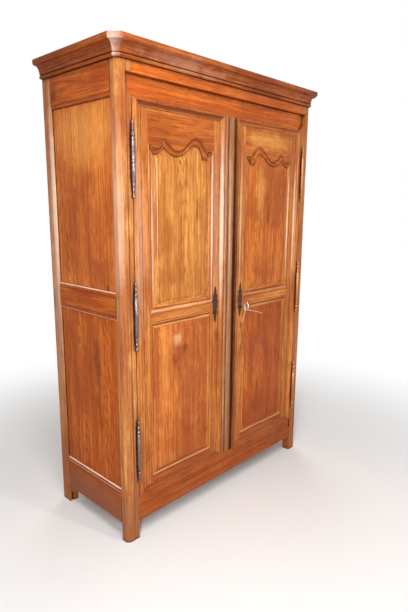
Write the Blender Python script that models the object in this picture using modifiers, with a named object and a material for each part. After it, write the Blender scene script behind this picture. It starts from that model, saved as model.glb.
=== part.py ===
"""Two-door oak wardrobe with a moulded cornice, scrolled door rails and raised panels.

Metres, +Z up. The origin is on the floor under the middle of the wardrobe, and the doors face -Y.
Pieces are drawn with x from the left side, y from the front of the posts and z from the floor,
and new_object moves them into that frame. Right-hand pieces mirror the left-hand ones.
"""

import math

import bmesh
import bpy
from mathutils import Matrix, Vector

# Overall sizes
WIDTH = 1.322
DEPTH = 0.540
CARCASS_HEIGHT = 2.030
LEG_HEIGHT = 0.088
SEAM = 0.0003

# Carcass frame
POST_WIDTH = 0.066
POST_DEPTH = 0.046
POST_CHAMFER = 0.015
POST_ROUND = 0.005
REAR_POST_WIDTH = 0.046
REAR_POST_DEPTH = 0.062
GROOVE_DEPTH = 0.008

# Front rails
FRONT_RAIL_TOP = 0.207
FRONT_RAIL_STEP = 0.157
FRONT_RAIL_REVEAL = 0.006
FRONT_RAIL_HOLLOW = 0.008
DOOR_STOP_RISE = 0.016
DOOR_STOP_GAP = 0.0005
FRIEZE_HEIGHT = 0.126
FRIEZE_BAND_HEIGHT = 0.041
FRIEZE_RECESS = 0.025
SHOULDER_WIDTH = 0.026
SHOULDER_HEIGHT = 0.035

# Sides
SIDE_RAIL_THICKNESS = 0.026
SIDE_PANEL_DEPTH = 0.008
SIDE_PANEL_THICKNESS = 0.010
SIDE_MOULDING_WIDTH = 0.018
SIDE_MOULDING_DROP = 0.005
SIDE_MOULDING_QUIRK = 0.001
SIDE_TOP_RAIL_HEIGHT = 0.133
SIDE_MIDDLE_RAIL_BOTTOM = 1.021
SIDE_MIDDLE_RAIL_TOP = 1.139
SIDE_BOTTOM_RAIL_TOP = 0.254
SIDE_PLINTH_TOP = 0.210
SIDE_PLINTH_STEP = 0.003
SIDE_PANEL_MARGIN = 0.076
SIDE_PANEL_END_MARGIN = 0.030
SIDE_PANEL_RELIEF = 0.002
FOOT_SWEEP_LENGTH = 0.080
FOOT_SWEEP_DROP = 0.030
FOOT_SWEEP_STEPS = 8

# Back, floor, top and hanging rod
REAR_RAIL_THICKNESS = 0.028
REAR_RAIL_INSET = 0.010
REAR_TOP_RAIL_HEIGHT = 0.100
REAR_BOTTOM_RAIL_DROP = 0.001
BACK_PANEL_THICKNESS = 0.010
BACK_PANEL_SETBACK = 0.008
FLOOR_THICKNESS = 0.016
TOP_THICKNESS = 0.015
TOP_BOARD_DROP = 0.004
ROD_RADIUS = 0.014
ROD_DROP = 0.105
ROD_SOCKET_DEPTH = 0.012

# Cornice
CORNICE_REACH = 0.042
CORNICE_HEIGHT = 0.076
CORNICE_BEAD_HEIGHT = 0.015
CORNICE_BEAD_REACH = 0.013
CORNICE_FASCIA_HEIGHT = 0.024
CORNICE_FASCIA_STEP = 0.004
CORNICE_QUIRK = 0.003
CORNICE_QUIRK_SET = 0.002
CORNICE_ROUND = 0.006
CORNICE_THUMB_HEIGHT = 0.010
CORNICE_CROWN_ROUND = 0.003

# Door frames
DOOR_GAP = 0.003
MEETING_HALF_WIDTH = 0.045
DOOR_THICKNESS = 0.028
FIELD_DEPTH = 0.007
QUIRK_DEPTH = 0.0016
HINGE_BORDER = 0.025
HINGE_STILE_FIELD = 0.032
MEETING_BORDER = 0.008
MEETING_STILE_FIELD = 0.036
TOP_BORDER = 0.007
BOTTOM_BORDER = 0.011
BOTTOM_RAIL_FIELD = 0.043
COVE_WIDTH = 0.024
BOTTOM_COVE_WIDTH = 0.015
COVE_HOLLOW_SHARE = 0.70
COVE_FILLET_SHARE = 0.86
BORDER_BEAD_WIDTH = 0.007
BORDER_BEAD_RISE = 0.0012
OVOLO_WIDTH = 0.015
OVOLO_DROP = 0.004
MIDDLE_RAIL_BOTTOM = 0.982
MIDDLE_RAIL_TOP = 1.085
PANEL_GROOVE_DEPTH = 0.012
TONGUE_THICKNESS = 0.006

# Raised panels of the doors
PANEL_BEVEL_WIDTH = 0.035
PANEL_BEVEL_RISE = 0.0016
PANEL_FILLET_RISE = 0.0023
PANEL_FILLET_WIDTH = 0.0025
PANEL_ROUND_RISE = 0.0011
PANEL_ROUND_WIDTH = 0.0060
PANEL_SCROLL_MARGIN = 0.018
PANEL_CORNER_SHARE = 0.14

# Scroll of the top rail: (share of the panel opening's width, distance below the top of the door).
# A break between two stretches is a cusp, or a step at the volute that ends the moulding.
SCROLL_LOWER = (
    ((0, 0.180), (0.034, 0.201), (0.064, 0.205), (0.135, 0.194), (0.19, 0.179), (0.212, 0.174)),
    (
        (0.214, 0.174),
        (0.240, 0.183),
        (0.28, 0.193),
        (0.36, 0.203),
        (0.435, 0.203),
        (0.51, 0.193),
        (0.59, 0.172),
        (0.675, 0.153),
        (0.756, 0.156),
        (0.81, 0.176),
        (0.836, 0.196),
        (0.845, 0.207),
    ),
    ((0.85, 0.207), (0.925, 0.205)),
    ((0.932, 0.185), (1, 0.180)),
)
SCROLL_UPPER = (
    ((0, 0.165), (0.06, 0.177), (0.11, 0.177), (0.165, 0.164), (0.21, 0.130)),
    (
        (0.216, 0.131),
        (0.28, 0.154),
        (0.36, 0.174),
        (0.435, 0.179),
        (0.51, 0.169),
        (0.59, 0.143),
        (0.675, 0.120),
        (0.756, 0.116),
        (0.84, 0.130),
        (0.894, 0.156),
        (0.925, 0.177),
    ),
    ((0.932, 0.169), (1, 0.165)),
)
# Moulding along the scroll: (share of its width from the panel edge, depth)
SCROLL_MOULDING = (
    (0.0, 0.0106),
    (0.06, 0.0076),
    (0.14, 0.0048),
    (0.25, 0.0034),
    (0.37, 0.0036),
    (0.47, 0.0056),
    (0.55, 0.0086),
    (0.66, 0.0106),
    (0.82, 0.0108),
    (0.95, 0.0094),
    (1.0, FIELD_DEPTH),
)

# Meeting batten: from the edge of the left door to the edge of the right one
BATTEN_WIDTH = 0.055
BATTEN_BEAD_WIDTH = 0.018
BATTEN_BEAD_RISE = 0.004
BATTEN_FLAT_WIDTH = 0.028
BATTEN_FLAT_RISE = 0.002
BATTEN_FILLET_DEPTH = 0.002
BATTEN_REBATE_DEPTH = 0.013
REBATE_BEAD_WIDTH = 0.008
REBATE_BEAD_RISE = 0.004

# Hinges
HINGE_RADIUS = 0.008
HINGE_AXIS_X = 0.064
HINGE_HALF_LENGTH = 0.149
HINGE_TOP_DROP = 0.235
HINGE_BOTTOM_RISE = 0.216
HINGE_JOINT_GAP = 0.0006
LEAF_THICKNESS = 0.0021
LEAF_LENGTH = 0.100
LEAF_DEPTH = 0.022
HINGE_STEPS = 12

# Lock, key and bolts
ESCUTCHEON_HEIGHT = 0.176
ESCUTCHEON_THICKNESS = 0.0022
ESCUTCHEON_DROP = 0.012
KEY_DROP = 0.031
KEY_SHAFT_RADIUS = 0.0040
KEY_CLEARANCE = 0.0005
KEYHOLE_HALF_WIDTH = 0.0022
KEYHOLE_STEPS = 14
KEY_BOW_HEIGHT = 0.050
KEY_BOW_WIDTH = 0.028
KEY_BOW_WIRE = 0.0028
KEY_BOW_POINTS = 20
KEY_REACH = 0.026
KEY_TIP_REACH = 0.010
KEY_COLLAR_RADIUS = 0.0064
KEY_COLLAR_LENGTH = 0.005
KEY_COLLAR_SETBACK = 0.008
KEY_BIT_DROP = 0.0155
KEY_BIT_HALF_THICKNESS = 0.0017
KEY_BIT_SETBACK = 0.002
LOCK_WIDTH = 0.060
LOCK_HEIGHT = 0.100
LOCK_DEPTH = 0.016
LOCK_WALL = 0.002
LOCK_BOLT_HEIGHT = 0.024
LOCK_BOLT_THICKNESS = 0.006
LOCK_BOLT_CLEARANCE = 0.0008
LOCK_BOLT_PLAY = 0.004
LOCK_SETBACK = 0.009
BOLT_RADIUS = 0.004
BOLT_LENGTH = 0.090
BOLT_OFFSET = 0.0092
BOLT_REST_GAP = 0.002
BOLT_RUN = 0.0002
BOLT_PLATE_WIDTH = 0.030
BOLT_PLATE_THICKNESS = 0.0025
BOLT_PLATE_RISE = 0.006
BOLT_PLATE_DROP = 0.016
BOLT_GUIDE_HEIGHT = 0.012
BOLT_GUIDE_WALL = 0.003
BOLT_KNOB_RADIUS = 0.0035
BOLT_KNOB_LENGTH = 0.012
BOLT_KNOB_RISE = 0.0235

# String tied to the key: its route from the right-hand end over the bow's lower wire to the left-hand
# end, measured from the middle of that wire
STRING_DIAMETER = 0.0022
STRING_ROUTE = (
    (0.095, -0.028, -0.024),
    (0.070, -0.022, -0.013),
    (0.045, -0.013, -0.006),
    (0.024, -0.005, -0.0015),
    (0.011, -0.001, 0.0020),
    (0.0046, 0, 0.0038),
    (0, 0, 0.0045),
    (-0.0040, 0, 0.0029),
    (-0.0060, 0.0005, -0.0018),
    (-0.010, 0.001, -0.013),
    (-0.018, 0, -0.027),
    (-0.028, -0.003, -0.040),
    (-0.034, -0.004, -0.052),
)

# Sizes that follow from those above
KEY_BORE_RADIUS = KEY_SHAFT_RADIUS + KEY_CLEARANCE
KEYHOLE_REACH = KEY_BIT_DROP + 2 * KEY_CLEARANCE
KEY_FRONT = KEY_REACH + KEY_BOW_WIDTH - KEY_BOW_WIRE
FRONT = (max(CORNICE_REACH, KEY_FRONT) - DEPTH) / 2
CENTRE = WIDTH / 2
FRIEZE_BOTTOM = CARCASS_HEIGHT - FRIEZE_HEIGHT
FRIEZE_BAND_BOTTOM = CARCASS_HEIGHT - FRIEZE_BAND_HEIGHT
SIDE_TOP_RAIL_BOTTOM = CARCASS_HEIGHT - SIDE_TOP_RAIL_HEIGHT
DOOR_LEFT = POST_WIDTH + DOOR_GAP
DOOR_RIGHT = CENTRE - MEETING_HALF_WIDTH
DOOR_BOTTOM = FRONT_RAIL_TOP + DOOR_GAP
DOOR_TOP = FRIEZE_BOTTOM - DOOR_GAP
SIGHT_LEFT = DOOR_LEFT + HINGE_BORDER + COVE_WIDTH + HINGE_STILE_FIELD + OVOLO_WIDTH
SIGHT_RIGHT = DOOR_RIGHT - MEETING_BORDER - COVE_WIDTH - MEETING_STILE_FIELD - OVOLO_WIDTH
SIGHT_BOTTOM = DOOR_BOTTOM + BOTTOM_BORDER + BOTTOM_COVE_WIDTH + BOTTOM_RAIL_FIELD + OVOLO_WIDTH
GROOVE_BACK = PANEL_GROOVE_DEPTH + TONGUE_THICKNESS + 2 * SEAM
TONGUE = GROOVE_DEPTH - SEAM
DOOR_STOP = DOOR_THICKNESS + DOOR_STOP_GAP
FLOOR_TOP = FRONT_RAIL_TOP + DOOR_STOP_RISE
REAR_POST_FRONT = DEPTH - REAR_POST_DEPTH
SIDE_GROOVE_BACK = SIDE_PANEL_DEPTH + SIDE_PANEL_THICKNESS
CORNICE_SEAT = 1.5 * POST_CHAMFER
HINGE_AXIS_Y = -HINGE_RADIUS - SEAM
HINGE_HEIGHTS = {
    "lower": DOOR_BOTTOM + HINGE_BOTTOM_RISE,
    "middle": (MIDDLE_RAIL_BOTTOM + MIDDLE_RAIL_TOP) / 2,
    "upper": DOOR_TOP - HINGE_TOP_DROP,
}
ESCUTCHEON_X = DOOR_RIGHT - MEETING_BORDER - COVE_WIDTH - MEETING_STILE_FIELD / 2
ESCUTCHEON_Z = (MIDDLE_RAIL_BOTTOM + MIDDLE_RAIL_TOP) / 2 - ESCUTCHEON_DROP
KEY_Z = ESCUTCHEON_Z - KEY_DROP
OVERCUT = 0.02
CORNER = 1 - math.sqrt(0.5)

PLACES = {
    "X": lambda a, b, along: (along, a, b),
    "Y": lambda a, b, along: (a, along, b),
    "Z": lambda a, b, along: (a, b, along),
}


def clear_scene():
    for old in list(bpy.data.objects):
        bpy.data.objects.remove(old, do_unlink=True)


def new_collection(name):
    collection = bpy.data.collections.new(name)
    bpy.context.scene.collection.children.link(collection)
    return collection


def new_material(name, colour, roughness, metallic=0.0):
    finish = bpy.data.materials.new(name)
    finish.use_nodes = True
    shader = finish.node_tree.nodes["Principled BSDF"]
    shader.inputs["Base Color"].default_value = (*colour, 1.0)
    shader.inputs["Roughness"].default_value = roughness
    shader.inputs["Metallic"].default_value = metallic
    finish.diffuse_color = (*colour, 1.0)
    return finish


clear_scene()
WARDROBE = new_collection("two_door_wardrobe")
CUTTERS = new_collection("cutters")
OAK = new_material("oak_polished", (0.52, 0.24, 0.085), 0.35)
OAK_LIGHT = new_material("oak_panel", (0.60, 0.30, 0.11), 0.35)
OAK_DARK = new_material("oak_side", (0.36, 0.15, 0.05), 0.40)
IRON = new_material("hinge_iron", (0.22, 0.20, 0.19), 0.38, 1.0)
DARK_IRON = new_material("lock_iron", (0.07, 0.06, 0.06), 0.50, 1.0)
STRING = new_material("string_cotton", (0.80, 0.76, 0.68), 0.90)


def finished(name, shape, finish=None, at=(0, 0, 0)):
    """Makes an object from a bmesh in drawing coordinates, or about the point at of that drawing.

    Without a finish it is a cutter.
    """
    bmesh.ops.recalc_face_normals(shape, faces=shape.faces)
    mesh = bpy.data.meshes.new(name)
    shape.to_mesh(mesh)
    shape.free()
    return new_object(name, mesh, finish, at)


def new_object(name, mesh, finish=None, at=(0, 0, 0)):
    made = bpy.data.objects.new(name, mesh)
    made.location = Vector(at) + Vector((-CENTRE, FRONT, 0))
    if finish is None:
        CUTTERS.objects.link(made)
        made.hide_render = True
        made.display_type = "WIRE"
    else:
        WARDROBE.objects.link(made)
        mesh.materials.clear()
        mesh.materials.append(finish)
    return made


def prism(name, outline, low, high, axis, finish=None):
    """A flat outline drawn across an axis and extruded along it from low to high."""
    shape = bmesh.new()
    place = PLACES[axis]
    corners = [shape.verts.new(place(a, b, low)) for a, b in outline]
    face = shape.faces.new(corners)
    grown = bmesh.ops.extrude_face_region(shape, geom=[face])["geom"]
    moved = [item for item in grown if isinstance(item, bmesh.types.BMVert)]
    bmesh.ops.translate(shape, verts=moved, vec=Vector(place(0, 0, high - low)))
    return finished(name, shape, finish)


def box(name, x, y, z, finish=None):
    outline = [(x[0], y[0]), (x[1], y[0]), (x[1], y[1]), (x[0], y[1])]
    return prism(name, outline, z[0], z[1], "Z", finish)


def loft(name, rings, finish=None):
    """A closed skin through rings that have the same number of points, capped at both ends."""
    shape = bmesh.new()
    rows = [[shape.verts.new(point) for point in ring] for ring in rings]
    count = len(rings[0])
    for row, following in zip(rows, rows[1:]):
        for k in range(count):
            after = (k + 1) % count
            shape.faces.new((row[k], row[after], following[after], following[k]))
    shape.faces.new(rows[0])
    shape.faces.new(rows[-1])
    return finished(name, shape, finish)


def turned(name, profile, at, finish, steps):
    """A profile of (radius, height) pairs, from top to bottom, turned about a vertical axis."""
    mesh = bpy.data.meshes.new(name)
    edges = [(k, k + 1) for k in range(len(profile) - 1)]
    mesh.from_pydata([(radius, 0, height) for radius, height in profile], edges, [])
    made = new_object(name, mesh, finish, at)
    screw = made.modifiers.new("turned", "SCREW")
    screw.steps = steps
    screw.render_steps = steps
    screw.use_merge_vertices = True
    screw.merge_threshold = 0.00001
    screw.use_smooth_shade = True
    return made


def combine(target, other, operation="DIFFERENCE", solver="EXACT"):
    """Cuts a piece by a cutter, joins the two or keeps what they share."""
    step = target.modifiers.new(other.name, "BOOLEAN")
    step.operation = operation
    step.solver = solver
    step.object = other


def real_mesh(source):
    """The mesh of an object as its modifiers leave it, in drawing coordinates."""
    bpy.context.view_layer.update()
    graph = bpy.context.evaluated_depsgraph_get()
    mesh = bpy.data.meshes.new_from_object(source.evaluated_get(graph))
    mesh.transform(Matrix.Translation((CENTRE, -FRONT, 0)) @ source.matrix_world)
    return mesh


def mirrored(source, name, finish):
    """The right-hand copy of a left-hand piece."""
    mesh = real_mesh(source)
    mesh.transform(Matrix.Translation((WIDTH, 0, 0)) @ Matrix.Scale(-1, 4, (1, 0, 0)))
    mesh.flip_normals()
    mesh.name = name
    return new_object(name, mesh, finish)


def both_sides(source, finish=None):
    """Mirrors a piece whose name ends in _left, and returns both."""
    name = source.name.replace("left", "right")
    return source, mirrored(source, name, finish or source.data.materials[0])


def inset(outline, distance):
    """The outline with each side moved inwards by the distance."""
    count = len(outline)
    area = sum(
        outline[k][0] * outline[(k + 1) % count][1] - outline[(k + 1) % count][0] * outline[k][1]
        for k in range(count)
    )
    inward = math.copysign(distance, area)
    lines = []
    for k in range(count):
        start = Vector(outline[k])
        along = (Vector(outline[(k + 1) % count]) - start).normalized()
        lines.append((start + Vector((-along.y, along.x)) * inward, along))
    moved = []
    for k in range(count):
        (start, along), (other, across) = lines[k - 1], lines[k]
        between = along.x * across.y - along.y * across.x
        reach = ((other - start).x * across.y - (other - start).y * across.x) / between
        moved.append(tuple(start + along * reach))
    return moved


def smooth(stretches, steps=4):
    """Points of a Catmull-Rom curve through each stretch of knots, one stretch after another."""
    points = []
    for knots in stretches:
        for k in range(len(knots) - 1):
            before = Vector(knots[max(k - 1, 0)])
            start, end = Vector(knots[k]), Vector(knots[k + 1])
            beyond = Vector(knots[min(k + 2, len(knots) - 1)])
            for step in range(steps):
                t = step / steps
                bend = (2 * before - 5 * start + 4 * end - beyond) * t * t
                twist = (3 * start - before - 3 * end + beyond) * t**3
                points.append(tuple((2 * start + (end - before) * t + bend + twist) / 2))
        points.append(tuple(knots[-1]))
    return points


def read_curve(points, x):
    """The height of a line of points at x."""
    for (x0, z0), (x1, z1) in zip(points, points[1:]):
        if x0 <= x <= x1 and x1 > x0:
            return z0 + (z1 - z0) * (x - x0) / (x1 - x0)
    return points[0][1] if x < points[0][0] else points[-1][1]


def arc(steps, turn=math.pi / 2):
    return [turn * k / steps for k in range(steps + 1)]


def bead(start, width, base, rise, steps=4):
    """A half-round bead across a width, standing out from the base depth by its rise."""
    return [
        (start + width * (1 - math.cos(a)) / 2, base - rise * math.sin(a)) for a in arc(steps, math.pi)
    ]


def outer_edge(border, cove, beaded=False):
    """Back corner, border, cove, fillet and quirk of a door's frame, as (inset, depth)."""
    points = [(0, DOOR_THICKNESS), (0, 0)]
    if beaded:
        points += bead(border - BORDER_BEAD_WIDTH, BORDER_BEAD_WIDTH, 0, BORDER_BEAD_RISE)
    else:
        points.append((border, 0))
    hollow = COVE_HOLLOW_SHARE * cove
    fillet = border + COVE_FILLET_SHARE * cove
    field = border + cove
    points += [(border + hollow * (1 - math.cos(a)), FIELD_DEPTH * math.sin(a)) for a in arc(4)[1:]]
    points += [(fillet, FIELD_DEPTH), (fillet, FIELD_DEPTH + QUIRK_DEPTH)]
    points += [(field, FIELD_DEPTH + QUIRK_DEPTH), (field, FIELD_DEPTH)]
    return points


def panel_edge(sight, ovolo=OVOLO_WIDTH):
    """Quirk, ovolo, panel groove and back corner of a door's frame, as (inset, depth)."""
    start = sight - ovolo
    top = FIELD_DEPTH + QUIRK_DEPTH
    drop = OVOLO_DROP - QUIRK_DEPTH
    points = [(start, FIELD_DEPTH), (start, top)]
    points += [(start + ovolo * math.sin(a), top + drop * (1 - math.cos(a))) for a in arc(4)[1:]]
    points += [(sight, PANEL_GROOVE_DEPTH), (sight - GROOVE_DEPTH, PANEL_GROOVE_DEPTH)]
    points += [(sight - GROOVE_DEPTH, GROOVE_BACK), (sight, GROOVE_BACK), (sight, DOOR_THICKNESS)]
    return points


def front_posts():
    """Front posts with a chamfered corner and a pocket that carries on the frieze's recess."""
    outline = [
        (0, POST_CHAMFER),
        (POST_CHAMFER, 0),
        (POST_WIDTH, 0),
        (POST_WIDTH, POST_DEPTH),
        (SIDE_GROOVE_BACK + SEAM, POST_DEPTH),
        (SIDE_GROOVE_BACK + SEAM, POST_DEPTH - GROOVE_DEPTH),
        (SIDE_PANEL_DEPTH - SEAM, POST_DEPTH - GROOVE_DEPTH),
        (SIDE_PANEL_DEPTH - SEAM, POST_DEPTH),
        (POST_ROUND, POST_DEPTH),
        (CORNER * POST_ROUND, POST_DEPTH - CORNER * POST_ROUND),
        (0, POST_DEPTH - POST_ROUND),
    ]
    post = prism("front_post_left", outline, 0, CARCASS_HEIGHT, "Z", OAK)
    inner = POST_WIDTH - SHOULDER_WIDTH
    slope = SHOULDER_HEIGHT / SHOULDER_WIDTH
    pocket = [
        (inner, FRIEZE_BAND_BOTTOM),
        (inner, FRIEZE_BOTTOM + SHOULDER_HEIGHT),
        (POST_WIDTH + OVERCUT, FRIEZE_BOTTOM - OVERCUT * slope),
        (POST_WIDTH + OVERCUT, FRIEZE_BAND_BOTTOM),
    ]
    combine(post, prism("frieze_pocket_cutter", pocket, -OVERCUT, FRIEZE_RECESS, "Y"))
    return both_sides(post)


def rear_posts():
    back_groove = DEPTH - REAR_RAIL_INSET - REAR_RAIL_THICKNESS + BACK_PANEL_SETBACK - SEAM
    back_end = back_groove + BACK_PANEL_THICKNESS + 2 * SEAM
    outline = [
        (0, REAR_POST_FRONT + POST_ROUND),
        (CORNER * POST_ROUND, REAR_POST_FRONT + CORNER * POST_ROUND),
        (POST_ROUND, REAR_POST_FRONT),
        (SIDE_PANEL_DEPTH - SEAM, REAR_POST_FRONT),
        (SIDE_PANEL_DEPTH - SEAM, REAR_POST_FRONT + GROOVE_DEPTH),
        (SIDE_GROOVE_BACK + SEAM, REAR_POST_FRONT + GROOVE_DEPTH),
        (SIDE_GROOVE_BACK + SEAM, REAR_POST_FRONT),
        (REAR_POST_WIDTH, REAR_POST_FRONT),
        (REAR_POST_WIDTH, back_groove),
        (REAR_POST_WIDTH - GROOVE_DEPTH, back_groove),
        (REAR_POST_WIDTH - GROOVE_DEPTH, back_end),
        (REAR_POST_WIDTH, back_end),
        (REAR_POST_WIDTH, DEPTH),
        (0, DEPTH),
    ]
    return both_sides(prism("rear_post_left", outline, 0, CARCASS_HEIGHT, "Z", OAK_DARK))


def front_rails():
    """Frieze with its recessed field, and the bottom rail with its step; both stop the doors."""
    low, high = POST_WIDTH + SEAM, WIDTH - POST_WIDTH - SEAM
    stop_bottom = FRIEZE_BOTTOM - DOOR_STOP_RISE
    frieze = [
        (POST_DEPTH, CARCASS_HEIGHT),
        (0, CARCASS_HEIGHT),
        (0, FRIEZE_BAND_BOTTOM),
        (FRIEZE_RECESS, FRIEZE_BAND_BOTTOM),
        (FRIEZE_RECESS, FRIEZE_BOTTOM),
        (DOOR_STOP, FRIEZE_BOTTOM),
        (DOOR_STOP, stop_bottom),
        (POST_DEPTH, stop_bottom),
    ]
    rail = prism("frieze_rail", frieze, low, high, "X", OAK)
    reach = DOOR_STOP_RISE + OVERCUT
    socket = cylinder_cutter("bolt_socket_cutter", BOLT_RADIUS + BOLT_RUN, 2 * reach, "Z")
    socket.location += Vector((ESCUTCHEON_X, DOOR_THICKNESS + BOLT_OFFSET, stop_bottom))
    combine(rail, socket)
    step = [
        (FRONT_RAIL_REVEAL * (1 - math.cos(a)), FRONT_RAIL_STEP - FRONT_RAIL_HOLLOW * (1 - math.sin(a)))
        for a in arc(4)
    ]
    plinth = [
        (POST_DEPTH, LEG_HEIGHT),
        (0, LEG_HEIGHT),
        *step,
        (FRONT_RAIL_REVEAL, FRONT_RAIL_TOP),
        (DOOR_STOP, FRONT_RAIL_TOP),
        (DOOR_STOP, FLOOR_TOP),
        (POST_DEPTH, FLOOR_TOP),
    ]
    prism("front_bottom_rail", plinth, low, high, "X", OAK)


def cylinder_cutter(name, radius, length, axis, segments=24):
    """A round cutter about the drawing's origin, along an axis."""
    shape = bmesh.new()
    bmesh.ops.create_cone(
        shape, cap_ends=True, segments=segments, radius1=radius, radius2=radius, depth=length
    )
    if axis != "Z":
        turn = Matrix.Rotation(math.pi / 2, 3, "Y" if axis == "X" else "X")
        bmesh.ops.rotate(shape, verts=shape.verts, matrix=turn)
    return finished(name, shape)


def side_edge(sight, direction):
    """Moulded edge of a side rail: field to groove to back, as (depth, height)."""
    start = sight - direction * SIDE_MOULDING_WIDTH
    points = [
        (
            SIDE_MOULDING_DROP * (1 - math.cos(a)) + SIDE_MOULDING_QUIRK,
            start + direction * SIDE_MOULDING_WIDTH * math.sin(a),
        )
        for a in arc(4)
    ]
    groove = sight - direction * GROOVE_DEPTH
    return [
        (0, start),
        *points,
        (SIDE_PANEL_DEPTH - SEAM, sight),
        (SIDE_PANEL_DEPTH - SEAM, groove),
        (SIDE_GROOVE_BACK + SEAM, groove),
        (SIDE_GROOVE_BACK + SEAM, sight),
        (SIDE_RAIL_THICKNESS, sight),
    ]


def side_rails():
    """Top, middle and bottom rails of the sides, moulded along their panels."""
    low, high = POST_DEPTH + SEAM, REAR_POST_FRONT - SEAM
    top = [(SIDE_RAIL_THICKNESS, CARCASS_HEIGHT), (0, CARCASS_HEIGHT), *side_edge(SIDE_TOP_RAIL_BOTTOM, -1)]
    top_rail = prism("side_top_rail_left", top, low, high, "Y", OAK_DARK)
    socket = cylinder_cutter("rod_socket_cutter", ROD_RADIUS + SEAM, 2 * ROD_SOCKET_DEPTH, "X")
    middle_y = (POST_DEPTH + REAR_POST_FRONT) / 2
    socket.location += Vector((SIDE_RAIL_THICKNESS, middle_y, CARCASS_HEIGHT - ROD_DROP))
    combine(top_rail, socket)
    both_sides(top_rail)
    lower_edge = side_edge(SIDE_MIDDLE_RAIL_BOTTOM, -1)
    middle = list(reversed(side_edge(SIDE_MIDDLE_RAIL_TOP, 1))) + lower_edge
    both_sides(prism("side_middle_rail_left", middle, low, high, "Y", OAK_DARK))
    plinth = [
        (SIDE_RAIL_THICKNESS, LEG_HEIGHT - FOOT_SWEEP_DROP - OVERCUT),
        (0, LEG_HEIGHT - FOOT_SWEEP_DROP - OVERCUT),
        (0, SIDE_PLINTH_TOP),
        (SIDE_PLINTH_STEP, SIDE_PLINTH_TOP + SIDE_PLINTH_STEP),
        (SIDE_PLINTH_STEP, SIDE_BOTTOM_RAIL_TOP - SIDE_MOULDING_WIDTH),
        *side_edge(SIDE_BOTTOM_RAIL_TOP, 1)[2:],
    ]
    bottom_rail = prism("side_bottom_rail_left", plinth, low, high, "Y", OAK_DARK)
    combine(bottom_rail, foot_sweep(), "INTERSECT")
    both_sides(bottom_rail)


def foot_sweep():
    """Outline of a side's bottom rail, which sweeps down to meet the rear foot."""
    end = REAR_POST_FRONT + OVERCUT
    start = REAR_POST_FRONT - FOOT_SWEEP_LENGTH
    sweep = [
        (start + FOOT_SWEEP_LENGTH * a / math.pi, LEG_HEIGHT - FOOT_SWEEP_DROP * (1 - math.cos(a)) / 2)
        for a in arc(FOOT_SWEEP_STEPS, math.pi)
    ]
    outline = [(0, LEG_HEIGHT), *sweep, (end, LEG_HEIGHT - FOOT_SWEEP_DROP), (end, 2 * SIDE_BOTTOM_RAIL_TOP)]
    outline.append((0, 2 * SIDE_BOTTOM_RAIL_TOP))
    return prism("foot_sweep_cutter", outline, -OVERCUT, SIDE_RAIL_THICKNESS + OVERCUT, "X")


def side_panels():
    """Fielded panels of the sides, with their tongues in the grooves of posts and rails."""
    openings = {
        "upper": (SIDE_MIDDLE_RAIL_TOP, SIDE_TOP_RAIL_BOTTOM),
        "lower": (SIDE_BOTTOM_RAIL_TOP, SIDE_MIDDLE_RAIL_BOTTOM),
    }
    back = SIDE_GROOVE_BACK
    face = SIDE_PANEL_DEPTH
    for name, (bottom, top) in openings.items():
        def ring(depth, grow_y, grow_z):
            y0, y1 = POST_DEPTH - grow_y, REAR_POST_FRONT + grow_y
            z0, z1 = bottom - grow_z, top + grow_z
            return [(depth, y0, z0), (depth, y1, z0), (depth, y1, z1), (depth, y0, z1)]

        rings = [
            ring(back, TONGUE, TONGUE),
            ring(face, TONGUE, TONGUE),
            ring(face, -SEAM, -SEAM),
            ring(face - SIDE_PANEL_RELIEF, -SIDE_PANEL_MARGIN, -SIDE_PANEL_END_MARGIN),
        ]
        both_sides(loft(f"side_{name}_panel_left", rings, OAK_DARK))


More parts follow.
